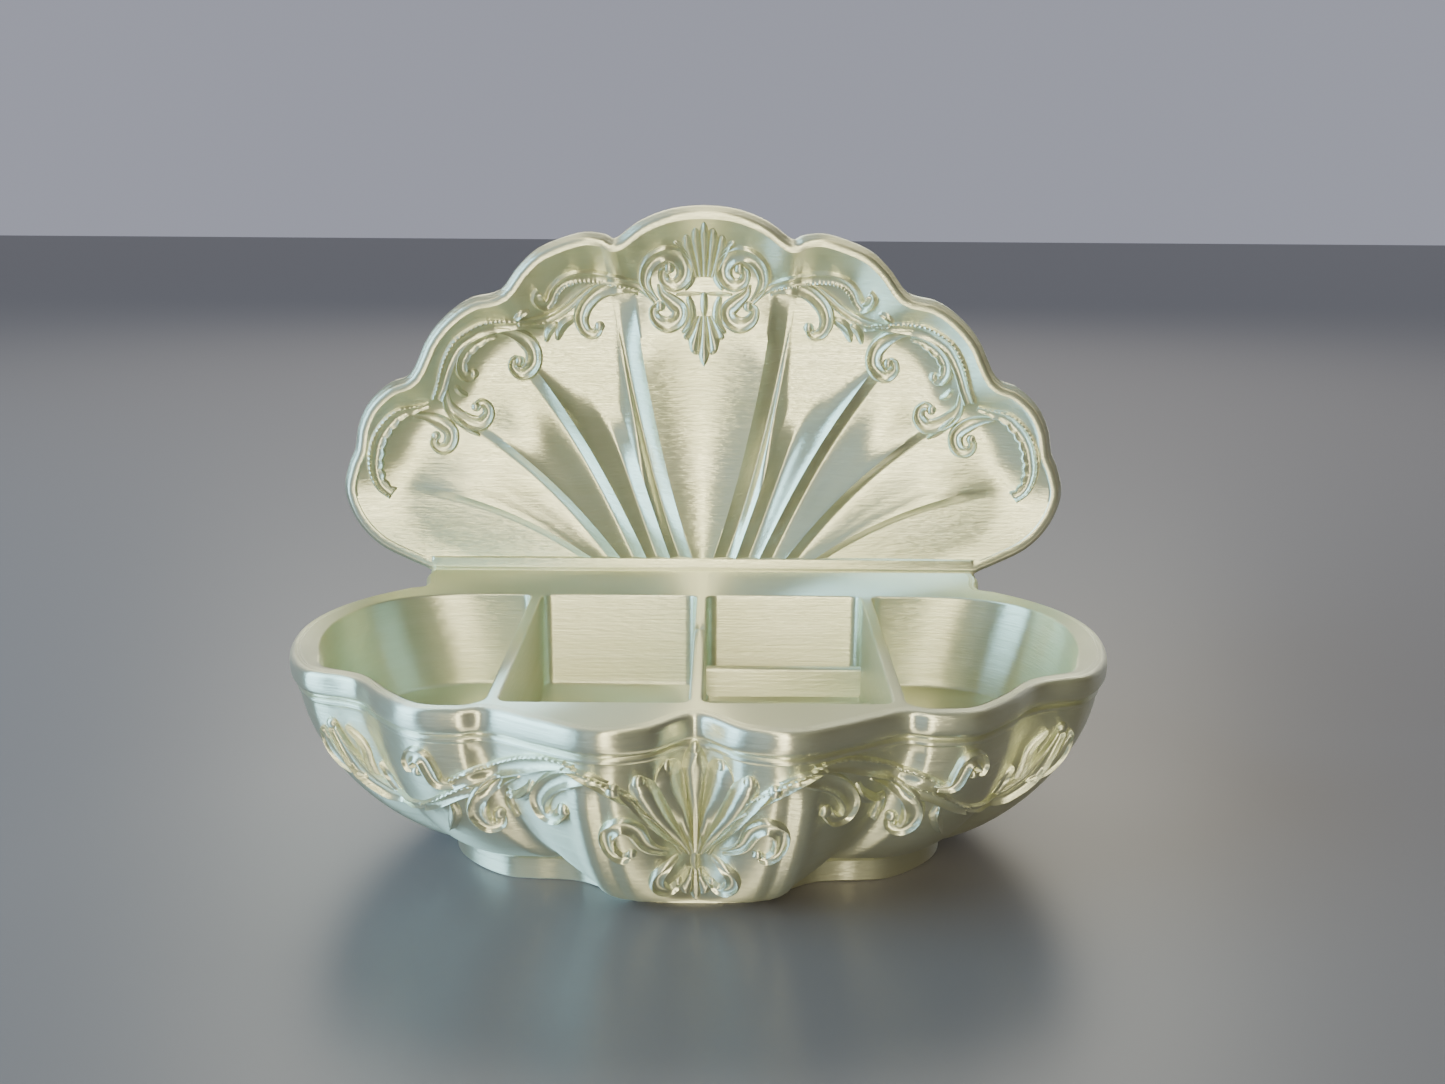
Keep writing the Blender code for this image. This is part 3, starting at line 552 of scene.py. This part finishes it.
def base_columns():
    """The place in keys of each column, from the middle of the front all the way round."""
    last = len(BASE_KEYS) - 1
    half = [(step / COLUMNS_A_KEY, 1.0) for step in range(last * COLUMNS_A_KEY + 1)]
    left = [(place, -1.0) for place, side in half[1:-1]]
    return list(reversed(half)) + left


def flute(place):
    """How far the bowl is drawn in at a place round it: the notches, and a narrow rib on each front lobe."""
    depth = 0.0
    for notch in BASE_NOTCHES:
        gap = abs(place - notch)
        depth = max(depth, FLUTE_DEPTH * max(0.0, 1.0 - gap / FLUTE_REACH) ** 1.6)
    rib = smooth((place - NARROW_RIB_START) / 0.12) * smooth((NARROW_RIB_END - place) / 0.3)
    groove = smooth(1.0 - abs(place - NARROW_GROOVE) / 0.18)
    return depth - NARROW_RIB * rib + 0.8 * NARROW_RIB * groove


def bowl_share(rise):
    return (1.0 - (1.0 - rise) ** BOWL_FULLNESS) ** (1.0 / BOWL_FULLNESS)


def lowered(height):
    """Height under the front lobe, whose bowl goes on down to the table where the foot ends."""
    if height > BOWL_TOP:
        return height
    if height < FOOT_HEIGHT:
        return LOBE_FOOT * height
    return height - (1.0 - LOBE_FOOT) * FOOT_HEIGHT * (BOWL_TOP - height) / (BOWL_TOP - FOOT_HEIGHT)


def base_rows():
    """Height, spread from foot to rim, how far in, how much of it is the foot's crease, how much flute."""
    top = RIM_HEIGHT
    rows = [
        (top, 1.0, 3.0, 0.0, 0.0),
        (top, 1.0, 2.65, 0.0, 0.0),
        (top - 0.07, 1.0, 2.45, 0.0, 0.0),
        (top, 1.0, 2.25, 0.0, 0.0),
        (top, 1.0, 2.05, 0.0, 0.0),
        (top - 0.07, 1.0, 1.85, 0.0, 0.0),
        (top, 1.0, 1.65, 0.0, 0.0),
    ]
    for step in range(1, 6):
        angle = step / 6 * pi / 2
        height, inset = top - RIM_ROUNDING * (1.0 - cos(angle)), RIM_ROUNDING * (1.0 - sin(angle))
        rows.append((height, 1.0, inset, 0.0, 0.0))
    rows += [
        (top - RIM_ROUNDING, 1.0, 0.0, 0.0, 0.0),
        (top - 0.40 * BAND_HEIGHT, 1.0, -0.10, 0.0, 0.0),
        (top - 0.60 * BAND_HEIGHT, 1.0, -0.12, 0.0, 0.0),
        (top - 0.78 * BAND_HEIGHT, 1.0, 0.0, 0.0, 0.0),
        (top - 0.88 * BAND_HEIGHT, 1.0, 0.35, 0.0, 0.0),
        (top - 0.95 * BAND_HEIGHT, 1.0, 0.95, 0.0, 0.0),
        (top - 1.00 * BAND_HEIGHT, 1.0, 1.55, 0.0, 0.0),
        (top - 1.04 * BAND_HEIGHT, 1.0, BAND_UNDERCUT, 0.0, 0.0),
        (top - 1.10 * BAND_HEIGHT, 1.0, BAND_UNDERCUT, 0.0, 0.0),
        (top - 1.14 * BAND_HEIGHT, 1.0, 1.55, 0.0, 0.0),
        (top - 1.20 * BAND_HEIGHT, 1.0, 1.25, 0.0, 0.0),
        (top - 1.30 * BAND_HEIGHT, 1.0, 1.30, 0.0, 0.0),
        (top - 1.35 * BAND_HEIGHT, 1.0, 1.60, 0.0, 0.1),
    ]
    for step in range(BOWL_LEVELS):
        rise = (1.0 - step / BOWL_LEVELS) ** 1.5
        share = bowl_share(rise)
        deep = smooth(4.0 * (1.0 - rise)) * smooth(6.0 * rise + 0.3)
        height = FOOT_HEIGHT + (BOWL_TOP - FOOT_HEIGHT) * rise
        rows.append((height, share, BAND_UNDERCUT * share, smooth(1.0 - rise * 16.0), deep))
    rows += [
        (FOOT_HEIGHT, 0.0, 0.0, 1.0, 0.0),
        (0.93 * FOOT_HEIGHT, 0.0, 0.0, 0.45, 0.0),
        (0.84 * FOOT_HEIGHT, 0.0, 0.0, 0.0, 0.0),
        (0.5 * FOOT_HEIGHT, 0.0, 0.0, 0.0, 0.0),
        (0.4, 0.0, 0.0, 0.0, 0.0),
        (0.0, 0.0, 0.4, 0.0, 0.0),
    ]
    return rows


class Base:
    """The outside of the base as a function of its columns and rows."""

    def __init__(self):
        keys = base_keys()
        self.columns = base_columns()
        self.rows = base_rows()
        points = []
        for place, side in self.columns:
            x, y, foot_x, foot_y = along(keys, place)
            points.append((side * x, y, side * foot_x, foot_y))
        self.rim = [Vector(point[:2]) for point in points]
        self.foot = [Vector(point[2:]) for point in points]
        self.rim_in = inward(self.rim)
        self.foot_in = inward(self.foot)

    def place(self, u, v):
        column = u % len(self.columns)
        height, spread, inset, crease, deep = self.rows[v]
        place = self.columns[column][0]
        lobe = smooth((place - BASE_NOTCHES[1]) / 2.0)
        inset = inset + FOOT_CREASE * crease * (1.0 - lobe) + deep * flute(place)
        normal = self.foot_in[column].lerp(self.rim_in[column], spread)
        point = self.foot[column].lerp(self.rim[column], spread) + normal * inset
        return Vector((point.x, point.y, mix(height, lowered(height), lobe)))


# Compartments

def flare(corner, before, after, steps=6):
    """Points that round a corner of an outline with the radius CORNER_FLARE."""
    corner, before, after = Vector(corner), Vector(before), Vector(after)
    start = corner - (corner - before).normalized() * CORNER_FLARE
    end = corner + (after - corner).normalized() * CORNER_FLARE
    points = []
    for step in range(steps + 1):
        share = step / steps
        bend = start.lerp(corner, share).lerp(corner.lerp(end, share), share)
        points.append((bend.x, bend.y))
    return points


def back_line():
    return y_at(LID_SEAT + DECK_DEPTH)


def front_line():
    return y_at(BASE_DEPTH - FRONT_WALL)


def middle_outline(side, front):
    """A middle compartment's outline with its front wall at the given place."""
    near, far = sorted((side * DIVIDER / 2, side * (DIVIDER / 2 + MIDDLE_WIDTH)))
    corners = [(near, front), (far, front), (far, back_line()), (near, back_line())]
    outline = []
    for number, corner in enumerate(corners):
        outline += flare(corner, corners[number - 1], corners[(number + 1) % 4])
    return outline


def end_wall(forward):
    """The rim is wide round the ends and narrow behind the front lobes."""
    narrow = smooth((forward / BASE_DEPTH - NARROWING_START) / NARROWING_RUN)
    return END_WALL + (LOBE_WALL - END_WALL) * narrow


def round_back(line):
    """The end wall runs into the back wall in one large curve."""
    kept = [point for point in line if point[1] < back_line() - BACK_ROUND]
    (near_x, near_y), (far_x, far_y) = kept[0], kept[1]
    corner_x = near_x + (near_x - far_x) / (near_y - far_y) * (back_line() - near_y)
    start = Vector((max(corner_x - BACK_RUN, END_START + 1.2 * CORNER_FLARE), back_line()))
    corner = Vector((max(corner_x, start.x), back_line()))
    steps = 16
    bends = []
    for step in range(steps):
        share = step / steps
        bend = start.lerp(corner, share).lerp(corner.lerp(Vector(kept[0]), share), share)
        bends.append((bend.x, bend.y))
    return bends + kept


def end_outlines(side):
    """The mouth and the floor line of an end compartment."""
    keys = base_keys()
    count = END_COLUMNS_A_KEY * (BASE_NOTCHES[1] - END_KEY) + 1
    places = [END_KEY + number / END_COLUMNS_A_KEY for number in range(count)]
    points = [along(keys, place) for place in places]
    rim = [Vector(point[:2]) for point in points]
    share = bowl_share((FLOOR_HEIGHT - FOOT_HEIGHT) / (BOWL_TOP - FOOT_HEIGHT))
    bowl = [Vector(point[2:]).lerp(Vector(point[:2]), share) for point in points]
    wall, floor_wall = [], []
    furthest_back = back_line() - 0.3 * CORNER_FLARE
    for point, below, normal, normal_below in zip(rim, bowl, inward(rim, False), inward(bowl, False)):
        moved = point - normal * end_wall(BACK_EDGE - point.y)
        lower = below - normal_below * (BOWL_WALL + BAND_UNDERCUT + 0.5 * FLUTE_DEPTH)
        clear = moved.x > END_START + CORNER_FLARE and moved.y < furthest_back
        if clear and moved.y > front_line() - LOBE_WALL:
            wall.append((moved.x, moved.y))
            floor_wall.append((max(lower.x, END_START + CORNER_FLARE), min(lower.y, furthest_back)))
    rings = []
    for line, front in ((wall, front_line()), (floor_wall, front_line() + FRONT_SLOPE)):
        line = round_back(line)
        back_corner = flare((END_START, back_line()), (END_START, front), (line[0][0], back_line()))
        front_corner = flare((END_START, front), line[-1], (END_START, back_line()))
        ring = list(reversed(front_corner + back_corner + line))
        if side < 0:
            ring = [(-x, y) for x, y in reversed(ring)]
        rings.append(ring)
    return rings


def pocket(bm, outline, floor_line):
    """The walls of a compartment. Returns the loops of its mouth and of its floor."""
    count = len(outline)
    normals = inward(outline)
    floor_normals = inward(floor_line)
    edge = POCKET_EDGE
    rows = [(RIM_HEIGHT, 0.0, -edge)]
    for step in range(1, 4):
        angle = step / 4 * pi / 2
        rows.append((RIM_HEIGHT - edge * (1.0 - cos(angle)), 0.0, -edge * (1.0 - sin(angle))))
    rows.append((RIM_HEIGHT - edge, 0.0, 0.0))
    for step in range(1, 12):
        share = step / 12
        rows.append((mix(RIM_HEIGHT - edge, FLOOR_HEIGHT + 1.0, share), share, 0.0))
    rows += [
        (FLOOR_HEIGHT + 1.0, 1.0, 0.0),
        (FLOOR_HEIGHT + 0.5, 1.0, 0.13),
        (FLOOR_HEIGHT + 0.13, 1.0, 0.5),
        (FLOOR_HEIGHT, 1.0, 1.0),
    ]

    def place(u, v):
        height, share, inset = rows[v]
        spot = u % count
        point = Vector(outline[spot]).lerp(Vector(floor_line[spot]), share)
        point += normals[spot].lerp(floor_normals[spot], share) * inset
        return Vector((point.x, point.y, height))

    sheet(bm, count, len(rows) - 1, place)
    return [place(u, 0) for u in range(count)], [place(u, len(rows) - 1) for u in range(count)]


def fill(bm, loops, up=1.0):
    """A flat face between an outer loop and the loops inside it."""
    edges = []
    for loop in loops:
        verts = [bm.verts.new(point) for point in loop]
        edges += [bm.edges.new((verts[number - 1], verts[number])) for number in range(len(verts))]
    bmesh.ops.triangle_fill(bm, use_beauty=True, edges=edges, normal=(0.0, 0.0, up))


def ring_bar(bm, number):
    """A low bar with a rounded top across the floor of the right middle compartment."""
    back = back_line() - BAR_BEHIND - number * BAR_PITCH
    middle = back - BAR_THICKNESS / 2
    half = BAR_THICKNESS / 2
    top = FLOOR_HEIGHT + BAR_HEIGHT
    section = [(-half, FLOOR_HEIGHT - ROOT), (-half, top - half)]
    for step in range(1, 8):
        angle = step / 8 * pi
        section.append((-half * cos(angle), top - half + half * sin(angle) * 0.8))
    section += [(half, top - half), (half, FLOOR_HEIGHT - ROOT)]
    left, right = DIVIDER / 2 - ROOT, DIVIDER / 2 + MIDDLE_WIDTH + ROOT

    def place(u, v):
        y, z = section[u]
        return Vector((mix(left, right, v / 4), middle + y, z))

    sheet(bm, len(section) - 1, 4, place, Vector((0.0, 0.0, 1.0)))


# Lid

def lid_keys():
    return [(x * LID_WIDTH / 2, z * LID_HEIGHT) for x, z in LID_KEYS]


def fan_columns():
    """Columns of the right half from the rail's end to the middle.

    Each has its start along the rail, its place on the outline, and the rib's height, reach and bend there.
    Each flank is steep, the slope after it gentle.
    """
    stops = [(1.0, 1.0, 0.0, 0.0, 0.0)]
    for ridge, place, reach, bend in LID_RIBS:
        stops.append((ridge + RIB_DROP / FAN_START, place - RIB_SPREAD, 0.0, reach, bend))
        stops.append((ridge, place + RIB_SPREAD, 1.0, reach, bend))
    stops.append((0.0, len(LID_KEYS) - 1.0, MIDDLE_RIB, LID_RIBS[-1][2], 0.0))
    columns = []
    for number, (here, there) in enumerate(zip(stops, stops[1:])):
        flank = number % 2 == 1
        between = FLANK_COLUMNS if flank else SLOPE_COLUMNS
        if number == 0:
            between = OUTER_COLUMNS
        for step in range(between):
            share = step / between
            crowded = 0.35 * share + 0.65 * smooth(share)
            column = [mix(a, b, crowded) for a, b in zip(here, there)]
            hollow = crowded ** 1.3 if flank else 1.0 - (1.0 - crowded) ** 1.6
            column[2] = mix(here[2], there[2], hollow)
            columns.append(column)
    columns.append(list(stops[-1]))
    return columns


class Lid:
    """The inside, the rim and the back of the lid as functions of columns and rows."""

    def __init__(self):
        self.keys = lid_keys()
        self.plane = y_at(LID_SEAT)
        right = [(1.0, column) for column in fan_columns()]
        self.columns = right + [(-1.0, column) for side, column in reversed(right[:-1])]
        self.paths = [self.path(column) for side, column in self.columns]
        self.travels = [1.0 - (1.0 - row / LID_ROWS) ** 1.25 for row in range(LID_ROWS + 1)]

    def path(self, column):
        """Three points of a column's bend from rail to rim, the outline there and the way in from it."""
        start, place, turn = column[0], column[1], column[4]
        outline = Vector(along(self.keys, place))
        step = 0.05
        last = len(self.keys) - 1.0
        ahead = Vector(along(self.keys, min(place + step, last)))
        behind = Vector(along(self.keys, max(place - step, 0.0)))
        run = (ahead - behind).normalized()
        normal = Vector((-run.y, run.x))
        if place >= last:
            normal = Vector((0.0, -1.0))
        edge = outline + normal * LID_RIM
        edge.y = max(edge.y, RAIL_HEIGHT)
        begin = Vector((start * FAN_START, RAIL_HEIGHT))
        chord = (edge - begin).normalized()
        middle = (begin + edge) / 2 + Vector((-chord.y, chord.x)) * FAN_BEND * turn
        return begin, middle, edge, outline, normal

    def spot(self, u, v):
        begin, middle, edge = self.paths[u][:3]
        travel = self.travels[v]
        return begin.lerp(middle, travel).lerp(middle.lerp(edge, travel), travel)

    def depths(self, u, v):
        """How far behind the rim's plane the dish and the back are."""
        place, rib, reach = self.columns[u][1][1:4]
        travel = self.travels[v]
        point = self.spot(u, v)
        slope = 1.0 - (1.0 - min((point - self.paths[u][2]).length / DISH_SLOPE, 1.0)) ** 2
        rise = 0.14 + 0.86 * smooth((point.y - RAIL_HEIGHT) / (0.42 * LID_HEIGHT))
        bow = DISH_BOW * (2.0 * point.x / LID_WIDTH) ** 2
        dish = (DISH_DEPTH - bow) * slope * rise
        fade = smooth((reach - travel) / 0.3)
        front = dish - RIB_HEIGHT * (1.0 - exp(-dish / RIB_HEIGHT)) * rib * fade
        before = max([notch for notch in (1,) + LID_NOTCHES if notch <= place], default=1)
        mirror = 2 * len(LID_KEYS) - 2 - before
        after = min([notch for notch in LID_NOTCHES if notch > place], default=mirror)
        lobe = sin(pi * (place - before) / (after - before))
        swell = BACK_FLUTE * lobe * smooth(1.4 * travel)
        back = dish + LID_WALL + (LID_EDGE - LID_WALL) * (1.0 - slope) + swell * slope
        return front, back

    def front(self, u, v):
        point = self.spot(u, v)
        near = self.depths(u, v)[0]
        return Vector((self.columns[u][0] * point.x, self.plane + near + 0.3, RIM_HEIGHT + point.y))

    def back(self, u, v):
        point = self.spot(u, v)
        far = self.depths(u, v)[1]
        return Vector((self.columns[u][0] * point.x, self.plane + far, RIM_HEIGHT + point.y))

    def loop(self):
        """The column and row of each point round the edge of the sheets."""
        last_column, last_row = len(self.columns) - 1, len(self.travels) - 1
        loop = [(u, last_row) for u in range(last_column + 1)]
        loop += [(last_column, v) for v in range(last_row - 1, -1, -1)]
        loop += [(u, 0) for u in range(last_column - 1, -1, -1)]
        loop += [(0, v) for v in range(1, last_row)]
        return loop


def lid_body(bm):
    """The dish, the back and the rolled rim that joins them."""
    lid = Lid()
    columns, rows = len(lid.columns) - 1, len(lid.travels) - 1
    sheet(bm, columns, rows, lid.front)
    sheet(bm, columns, rows, lid.back)
    loop = lid.loop()
    # Inset from the outline, depth behind the rim's plane, height on the rail
    edge = [
        (LID_RIM - 0.2, 0.06, RAIL_HEIGHT - 0.15),
        (LID_RIM - 0.5, 0.0, RAIL_HEIGHT - 0.5),
        (LID_RIM - 0.9, -0.05, 2.2),
        (1.2, -0.05, 1.5),
        (0.8, 0.0, 1.15),
        (0.45, 0.18, 0.9),
        (0.15, 0.5, 0.3),
        (0.0, 0.8, -ROOT),
        (-0.35 * LID_ROLL, 1.3, -ROOT),
        (-0.75 * LID_ROLL, 1.9, -ROOT),
        (-LID_ROLL, 0.5 * LID_EDGE, -ROOT),
        (-0.9 * LID_ROLL, 0.68 * LID_EDGE, -ROOT),
        (-0.6 * LID_ROLL, 0.82 * LID_EDGE, -ROOT),
        (0.0, 0.93 * LID_EDGE, -ROOT),
        (0.5 * LID_RIM, 0.98 * LID_EDGE, -ROOT),
    ]

    def rim(u, v):
        spot = loop[u % len(loop)]
        if v == 0:
            return lid.front(*spot)
        if v == len(edge) + 1:
            return lid.back(*spot)
        inset, depth, rail = edge[v - 1]
        if spot[1] == rows:
            outline, normal = lid.paths[spot[0]][3:]
            point = outline + normal * inset
            point.y = max(point.y, -ROOT)
        else:
            point = Vector((lid.spot(*spot).x, rail))
        return Vector((lid.columns[spot[0]][0] * point.x, lid.plane + depth, RIM_HEIGHT + point.y))

    sheet(bm, len(loop), len(edge) + 1, rim)
    weld(bm)


# Raised ornament

def surface_of(bm):
    """A function of the point and the normal that are seen from the front at a place across and up."""
    tree = BVHTree.FromBMesh(bm)

    def surface(across, up):
        start = Vector((across, -10 * BASE_DEPTH, up))
        point, normal = tree.ray_cast(start, Vector((0.0, 1.0, 0.0)))[:2]
        if normal is not None and normal.y > 0.0:
            normal = -normal
        return point, normal
    return surface


def curve(points, step):
    """Points a step apart on the smooth curve through the given points."""
    ends = [2 * points[0] - points[1]] + list(points) + [2 * points[-1] - points[-2]]
    fine = []
    for a, b, c, d in zip(ends, ends[1:], ends[2:], ends[3:]):
        for part in range(24):
            t = part / 24
            bend = (2 * a - 5 * b + 4 * c - d) * t * t + (3 * b - a - 3 * c + d) * t ** 3
            fine.append((2 * b + (c - a) * t + bend) / 2)
    fine.append(points[-1])
    lengths = [0.0]
    for here, there in zip(fine, fine[1:]):
        lengths.append(lengths[-1] + (there - here).length)
    count = max(6, round(lengths[-1] / step))
    path, index = [], 0
    for number in range(count + 1):
        wanted = lengths[-1] * number / count
        while index < len(fine) - 2 and lengths[index + 1] < wanted:
            index += 1
        share = (wanted - lengths[index]) / max(lengths[index + 1] - lengths[index], 1e-9)
        path.append(fine[index].lerp(fine[index + 1], min(share, 1.0)))
    return path, lengths[-1]


# Across a raised line from its outer to its inner edge: shares of half its width, and of its height.
CHANNEL = (
    (-1.00, -0.9), (-0.97, 0.20), (-0.88, 0.82), (-0.76, 1.00), (-0.63, 0.80), (-0.48, 0.40), (-0.25, 0.26),
    (0.0, 0.24), (0.26, 0.34), (0.46, 0.66), (0.62, 0.92), (0.78, 0.85), (0.93, 0.25), (1.00, -0.9),
)
KEEL = (
    (-1.00, -0.9), (-0.92, 0.15), (-0.66, 0.38), (-0.30, 0.52), (-0.12, 0.85), (0.0, 1.0), (0.12, 0.85),
    (0.30, 0.52), (0.66, 0.38), (0.92, 0.15), (1.00, -0.9),
)


def swelling(kind, share):
    """How wide a raised line is at a share of its length."""
    if kind == "husk":
        return sin(pi * min(1.0, 0.06 + 0.94 * share)) ** 0.6
    tail = 0.45 if kind == "curl" else 0.25
    return (0.38 + 0.62 * smooth(2.6 * share)) * (1.0 - tail * smooth((share - 0.6) / 0.4))


def raised_line(bm, surface, kind, points, width):
    """A raised ribbon that follows a line over a surface."""
    beaded = kind in ("arch", "rope")
    path, length = curve(points, BEAD_STEP if beaded else SCROLL_STEP)
    spots = [surface(point.x, point.y) for point in path]
    last = len(spots) - 1
    section = KEEL if kind == "husk" else CHANNEL
    bend = sum((path[n + 1] - path[n]).cross(path[n] - path[n - 1]) for n in range(1, last))
    outer = 1.0 if bend > 0.0 else -1.0
    frames = []
    for number, (point, normal) in enumerate(spots):
        before, after = spots[max(number - 2, 0)], spots[min(number + 2, last)]
        level = (before[1] + normal + after[1]).normalized()
        frames.append((point, level, (after[0] - before[0]).normalized().cross(level).normalized() * outer))

    def place(u, v):
        point, normal, aside = frames[min(v, last)]
        share = v / last
        across, rise = section[min(u, len(section) - 1)]
        reach = width / 2 * max(swelling(kind, share), 0.12)
        run = share * length
        if beaded and -0.9 < across < -0.6:
            rise *= 0.90 + 0.16 * sin(2 * pi * run / BEAD_PITCH)
        if kind in ("arch", "tooth") and across > 0.3:
            reach *= 0.80 + 0.30 * abs(sin(pi * run / TOOTH_PITCH))
        height = RELIEF * (0.60 + 0.40 * smooth(3.0 * share))
        if v in (0, last):
            rise = -0.9
        elif v in (1, last - 1):
            rise = min(rise, 0.55 * rise)
        return point + aside * (across * reach) + normal * (rise * height)

    sheet(bm, len(section) - 1, last, place, frames[last // 2][1])


def knob(bm, surface, centre, radius, tall=0.85):
    """A round bead at the end of a curl."""
    point, normal = surface(centre.x, centre.y)
    made = bmesh.ops.create_uvsphere(bm, u_segments=14, v_segments=8, radius=radius)["verts"]
    turn = normal.to_track_quat("Z", "Y").to_matrix()
    for vert in made:
        vert.co = point + turn @ Vector((vert.co.x, vert.co.y, vert.co.z * tall))


def fan_leaf(bm, surface, root, root_width, tips, lift=1.0):
    """A raised leaf on the middle line with rounded folds from its root to its tips."""
    across, up = 8, 24
    folds = len(tips) - 1
    columns = across * folds

    def place(u, v):
        fold = min(u // across, folds - 1)
        share = (u - fold * across) / across
        tip = tips[fold].lerp(tips[fold + 1], share)
        ridge = abs(cos(pi * share)) ** 0.75
        start = Vector((root_width * (u / columns - 0.5), root))
        if tips[0].x > tips[-1].x:
            start.x = -start.x
        run = min(v, up) / up
        spot = start.lerp(tip, run * (0.88 + 0.12 * ridge))
        point, normal = surface(spot.x, spot.y)
        end = smooth((1.0 - run) / 0.10)
        rise = lift * RELIEF * (0.30 + 0.70 * ridge) * (0.55 + 0.45 * smooth(2.5 * run)) * (0.25 + 0.75 * end)
        if v > up or u in (0, columns) or v == 0:
            rise = -ROOT
        return point + normal * rise

    sheet(bm, columns, up + 1, place, Vector((0.0, -1.0, 0.0)))


def ornament(bm, surface, lines, leaves, middle, foot):
    """The raised lines of both sides, then the leaves and the drop on the middle line."""
    lift = Vector((0.0, foot))
    for kind, width, points in lines:
        for side in (1.0, -1.0):
            line = [Vector((side * x, z)) + lift for x, z in points]
            raised_line(bm, surface, kind, line, width)
            if kind in ("curl", "tooth"):
                knob(bm, surface, line[-1], KNOB_SHARE * width)
    for root, root_width, tips in leaves:
        fan_leaf(bm, surface, root + foot, root_width, [Vector(tip) + lift for tip in tips])
    raised_line(bm, surface, "husk", [Vector(point) + lift for point in middle], DROP_WIDTH)


def build():
    """The box as one piece."""
    base = Base()
    shell = bmesh.new()
    count = len(base.columns)
    sheet(shell, count, len(base.rows) - 1, base.place)
    weld(shell)
    base_surface = surface_of(shell)
    mouths = [[base.place(u, 0) for u in range(count)]]
    floors = []
    for side in (-1, 1):
        top, low = middle_outline(side, front_line()), middle_outline(side, front_line() + FRONT_SLOPE)
        for outline, floor_line in ((top, low), end_outlines(side)):
            mouth, ground = pocket(shell, outline, floor_line)
            mouths.append(mouth)
            floors.append(ground)
    fill(shell, mouths)
    for ground in floors:
        fill(shell, [ground])
    fill(shell, [[base.place(u, len(base.rows) - 1) for u in range(count)]], -1.0)
    weld(shell)
    bmesh.ops.recalc_face_normals(shell, faces=shell.faces)
    lid = bmesh.new()
    lid_body(lid)
    bmesh.ops.recalc_face_normals(lid, faces=lid.faces)
    lid_surface = surface_of(lid)
    joined = bpy.data.meshes.new("lid")
    lid.to_mesh(joined)
    lid.free()
    shell.from_mesh(joined)
    bpy.data.meshes.remove(joined)
    for number in range(BARS):
        ring_bar(shell, number)
    ornament(shell, lid_surface, LID_LINES, LID_LEAVES, LID_DROP, RIM_HEIGHT)
    ornament(shell, base_surface, BASE_LINES, (BASE_LEAF,), BASE_DROP, 0.0)
    root, root_width, ends = PALMETTE
    tips = [Vector(end) for end in ends]
    fan_leaf(shell, base_surface, root, root_width, tips, PALMETTE_LIFT)
    for tip in tips:
        knob(shell, base_surface, tip.lerp(Vector((0.0, root)), 0.05), PALMETTE_KNOB)
    body = piece("shell_box_body", shell, silk_plastic())
    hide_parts("shell_box")


def area_light(name, turn, distance, height, size, radiance, colour):
    """A tall soft light at an angle round the box, counted from straight in front of it to the right."""
    light = bpy.data.lights.new(name, "AREA")
    light.shape = "RECTANGLE"
    light.size, light.size_y = size
    light.energy = radiance * pi * size[0] * size[1]
    light.color = colour
    thing = bpy.data.objects.new(name, light)
    thing.location = (distance * sin(radians(turn)), -distance * cos(radians(turn)), height)
    aim = Vector(LIGHT_AIM) - Vector(thing.location)
    thing.rotation_euler = aim.to_track_quat("-Z", "Y").to_euler()
    bpy.context.scene.collection.objects.link(thing)


def camera():
    """The camera at the photograph's angle."""
    lens = bpy.data.cameras.new("camera")
    lens.sensor_width = SENSOR_WIDTH
    lens.lens = FOCAL_LENGTH / PHOTO_WIDTH * SENSOR_WIDTH
    holder = bpy.data.objects.new("camera", lens)
    pitch = Euler((radians(90.0 - CAMERA_PITCH), 0.0, 0.0)).to_matrix()
    roll = Euler((0.0, 0.0, radians(CAMERA_ROLL))).to_matrix()
    holder.rotation_euler = (pitch @ roll).to_euler()
    holder.location = (CAMERA_RIGHT * MM, (y_at(DECK_EDGE) - CAMERA_DISTANCE) * MM, CAMERA_HEIGHT * MM)
    bpy.context.scene.collection.objects.link(holder)
    bpy.context.scene.camera = holder


def table():
    """A plain pale floor that the box stands on."""
    bm = bmesh.new()
    bmesh.ops.create_grid(bm, x_segments=1, y_segments=1, size=TABLE_SIZE)
    mesh = bpy.data.meshes.new("floor")
    bm.to_mesh(mesh)
    bm.free()
    nodes = Nodes("pale_floor", bpy.data.materials)
    mesh.materials.append(nodes.finish("Principled BSDF", {
        "Base Color": TABLE_COLOUR,
        "Roughness": TABLE_ROUGHNESS,
    }))
    ground = bpy.data.objects.new("floor", mesh)
    bpy.context.scene.collection.objects.link(ground)


def room():
    """A soft room, whose tones run into each other along its axes."""
    nodes = Nodes("soft_room", bpy.data.worlds)
    axes = nodes.axes(nodes.add("ShaderNodeTexCoord"))
    tone = ROOM_LEFT
    for axis, start, end, colour in ROOM_TONES:
        values = {"Value": axes[axis], "From Min": start, "From Max": end}
        share = nodes.add("ShaderNodeMapRange", None, values)
        tone = nodes.add("ShaderNodeMix", {"data_type": "RGBA"}, {0: share, 6: tone, 7: colour}, output=2)
    bpy.context.scene.world = nodes.finish("Background", {0: tone})


def studio():
    """Camera, floor, room and soft lights."""
    camera()
    table()
    room()
    for light in LIGHTS:
        area_light(*light)


studio()
build()
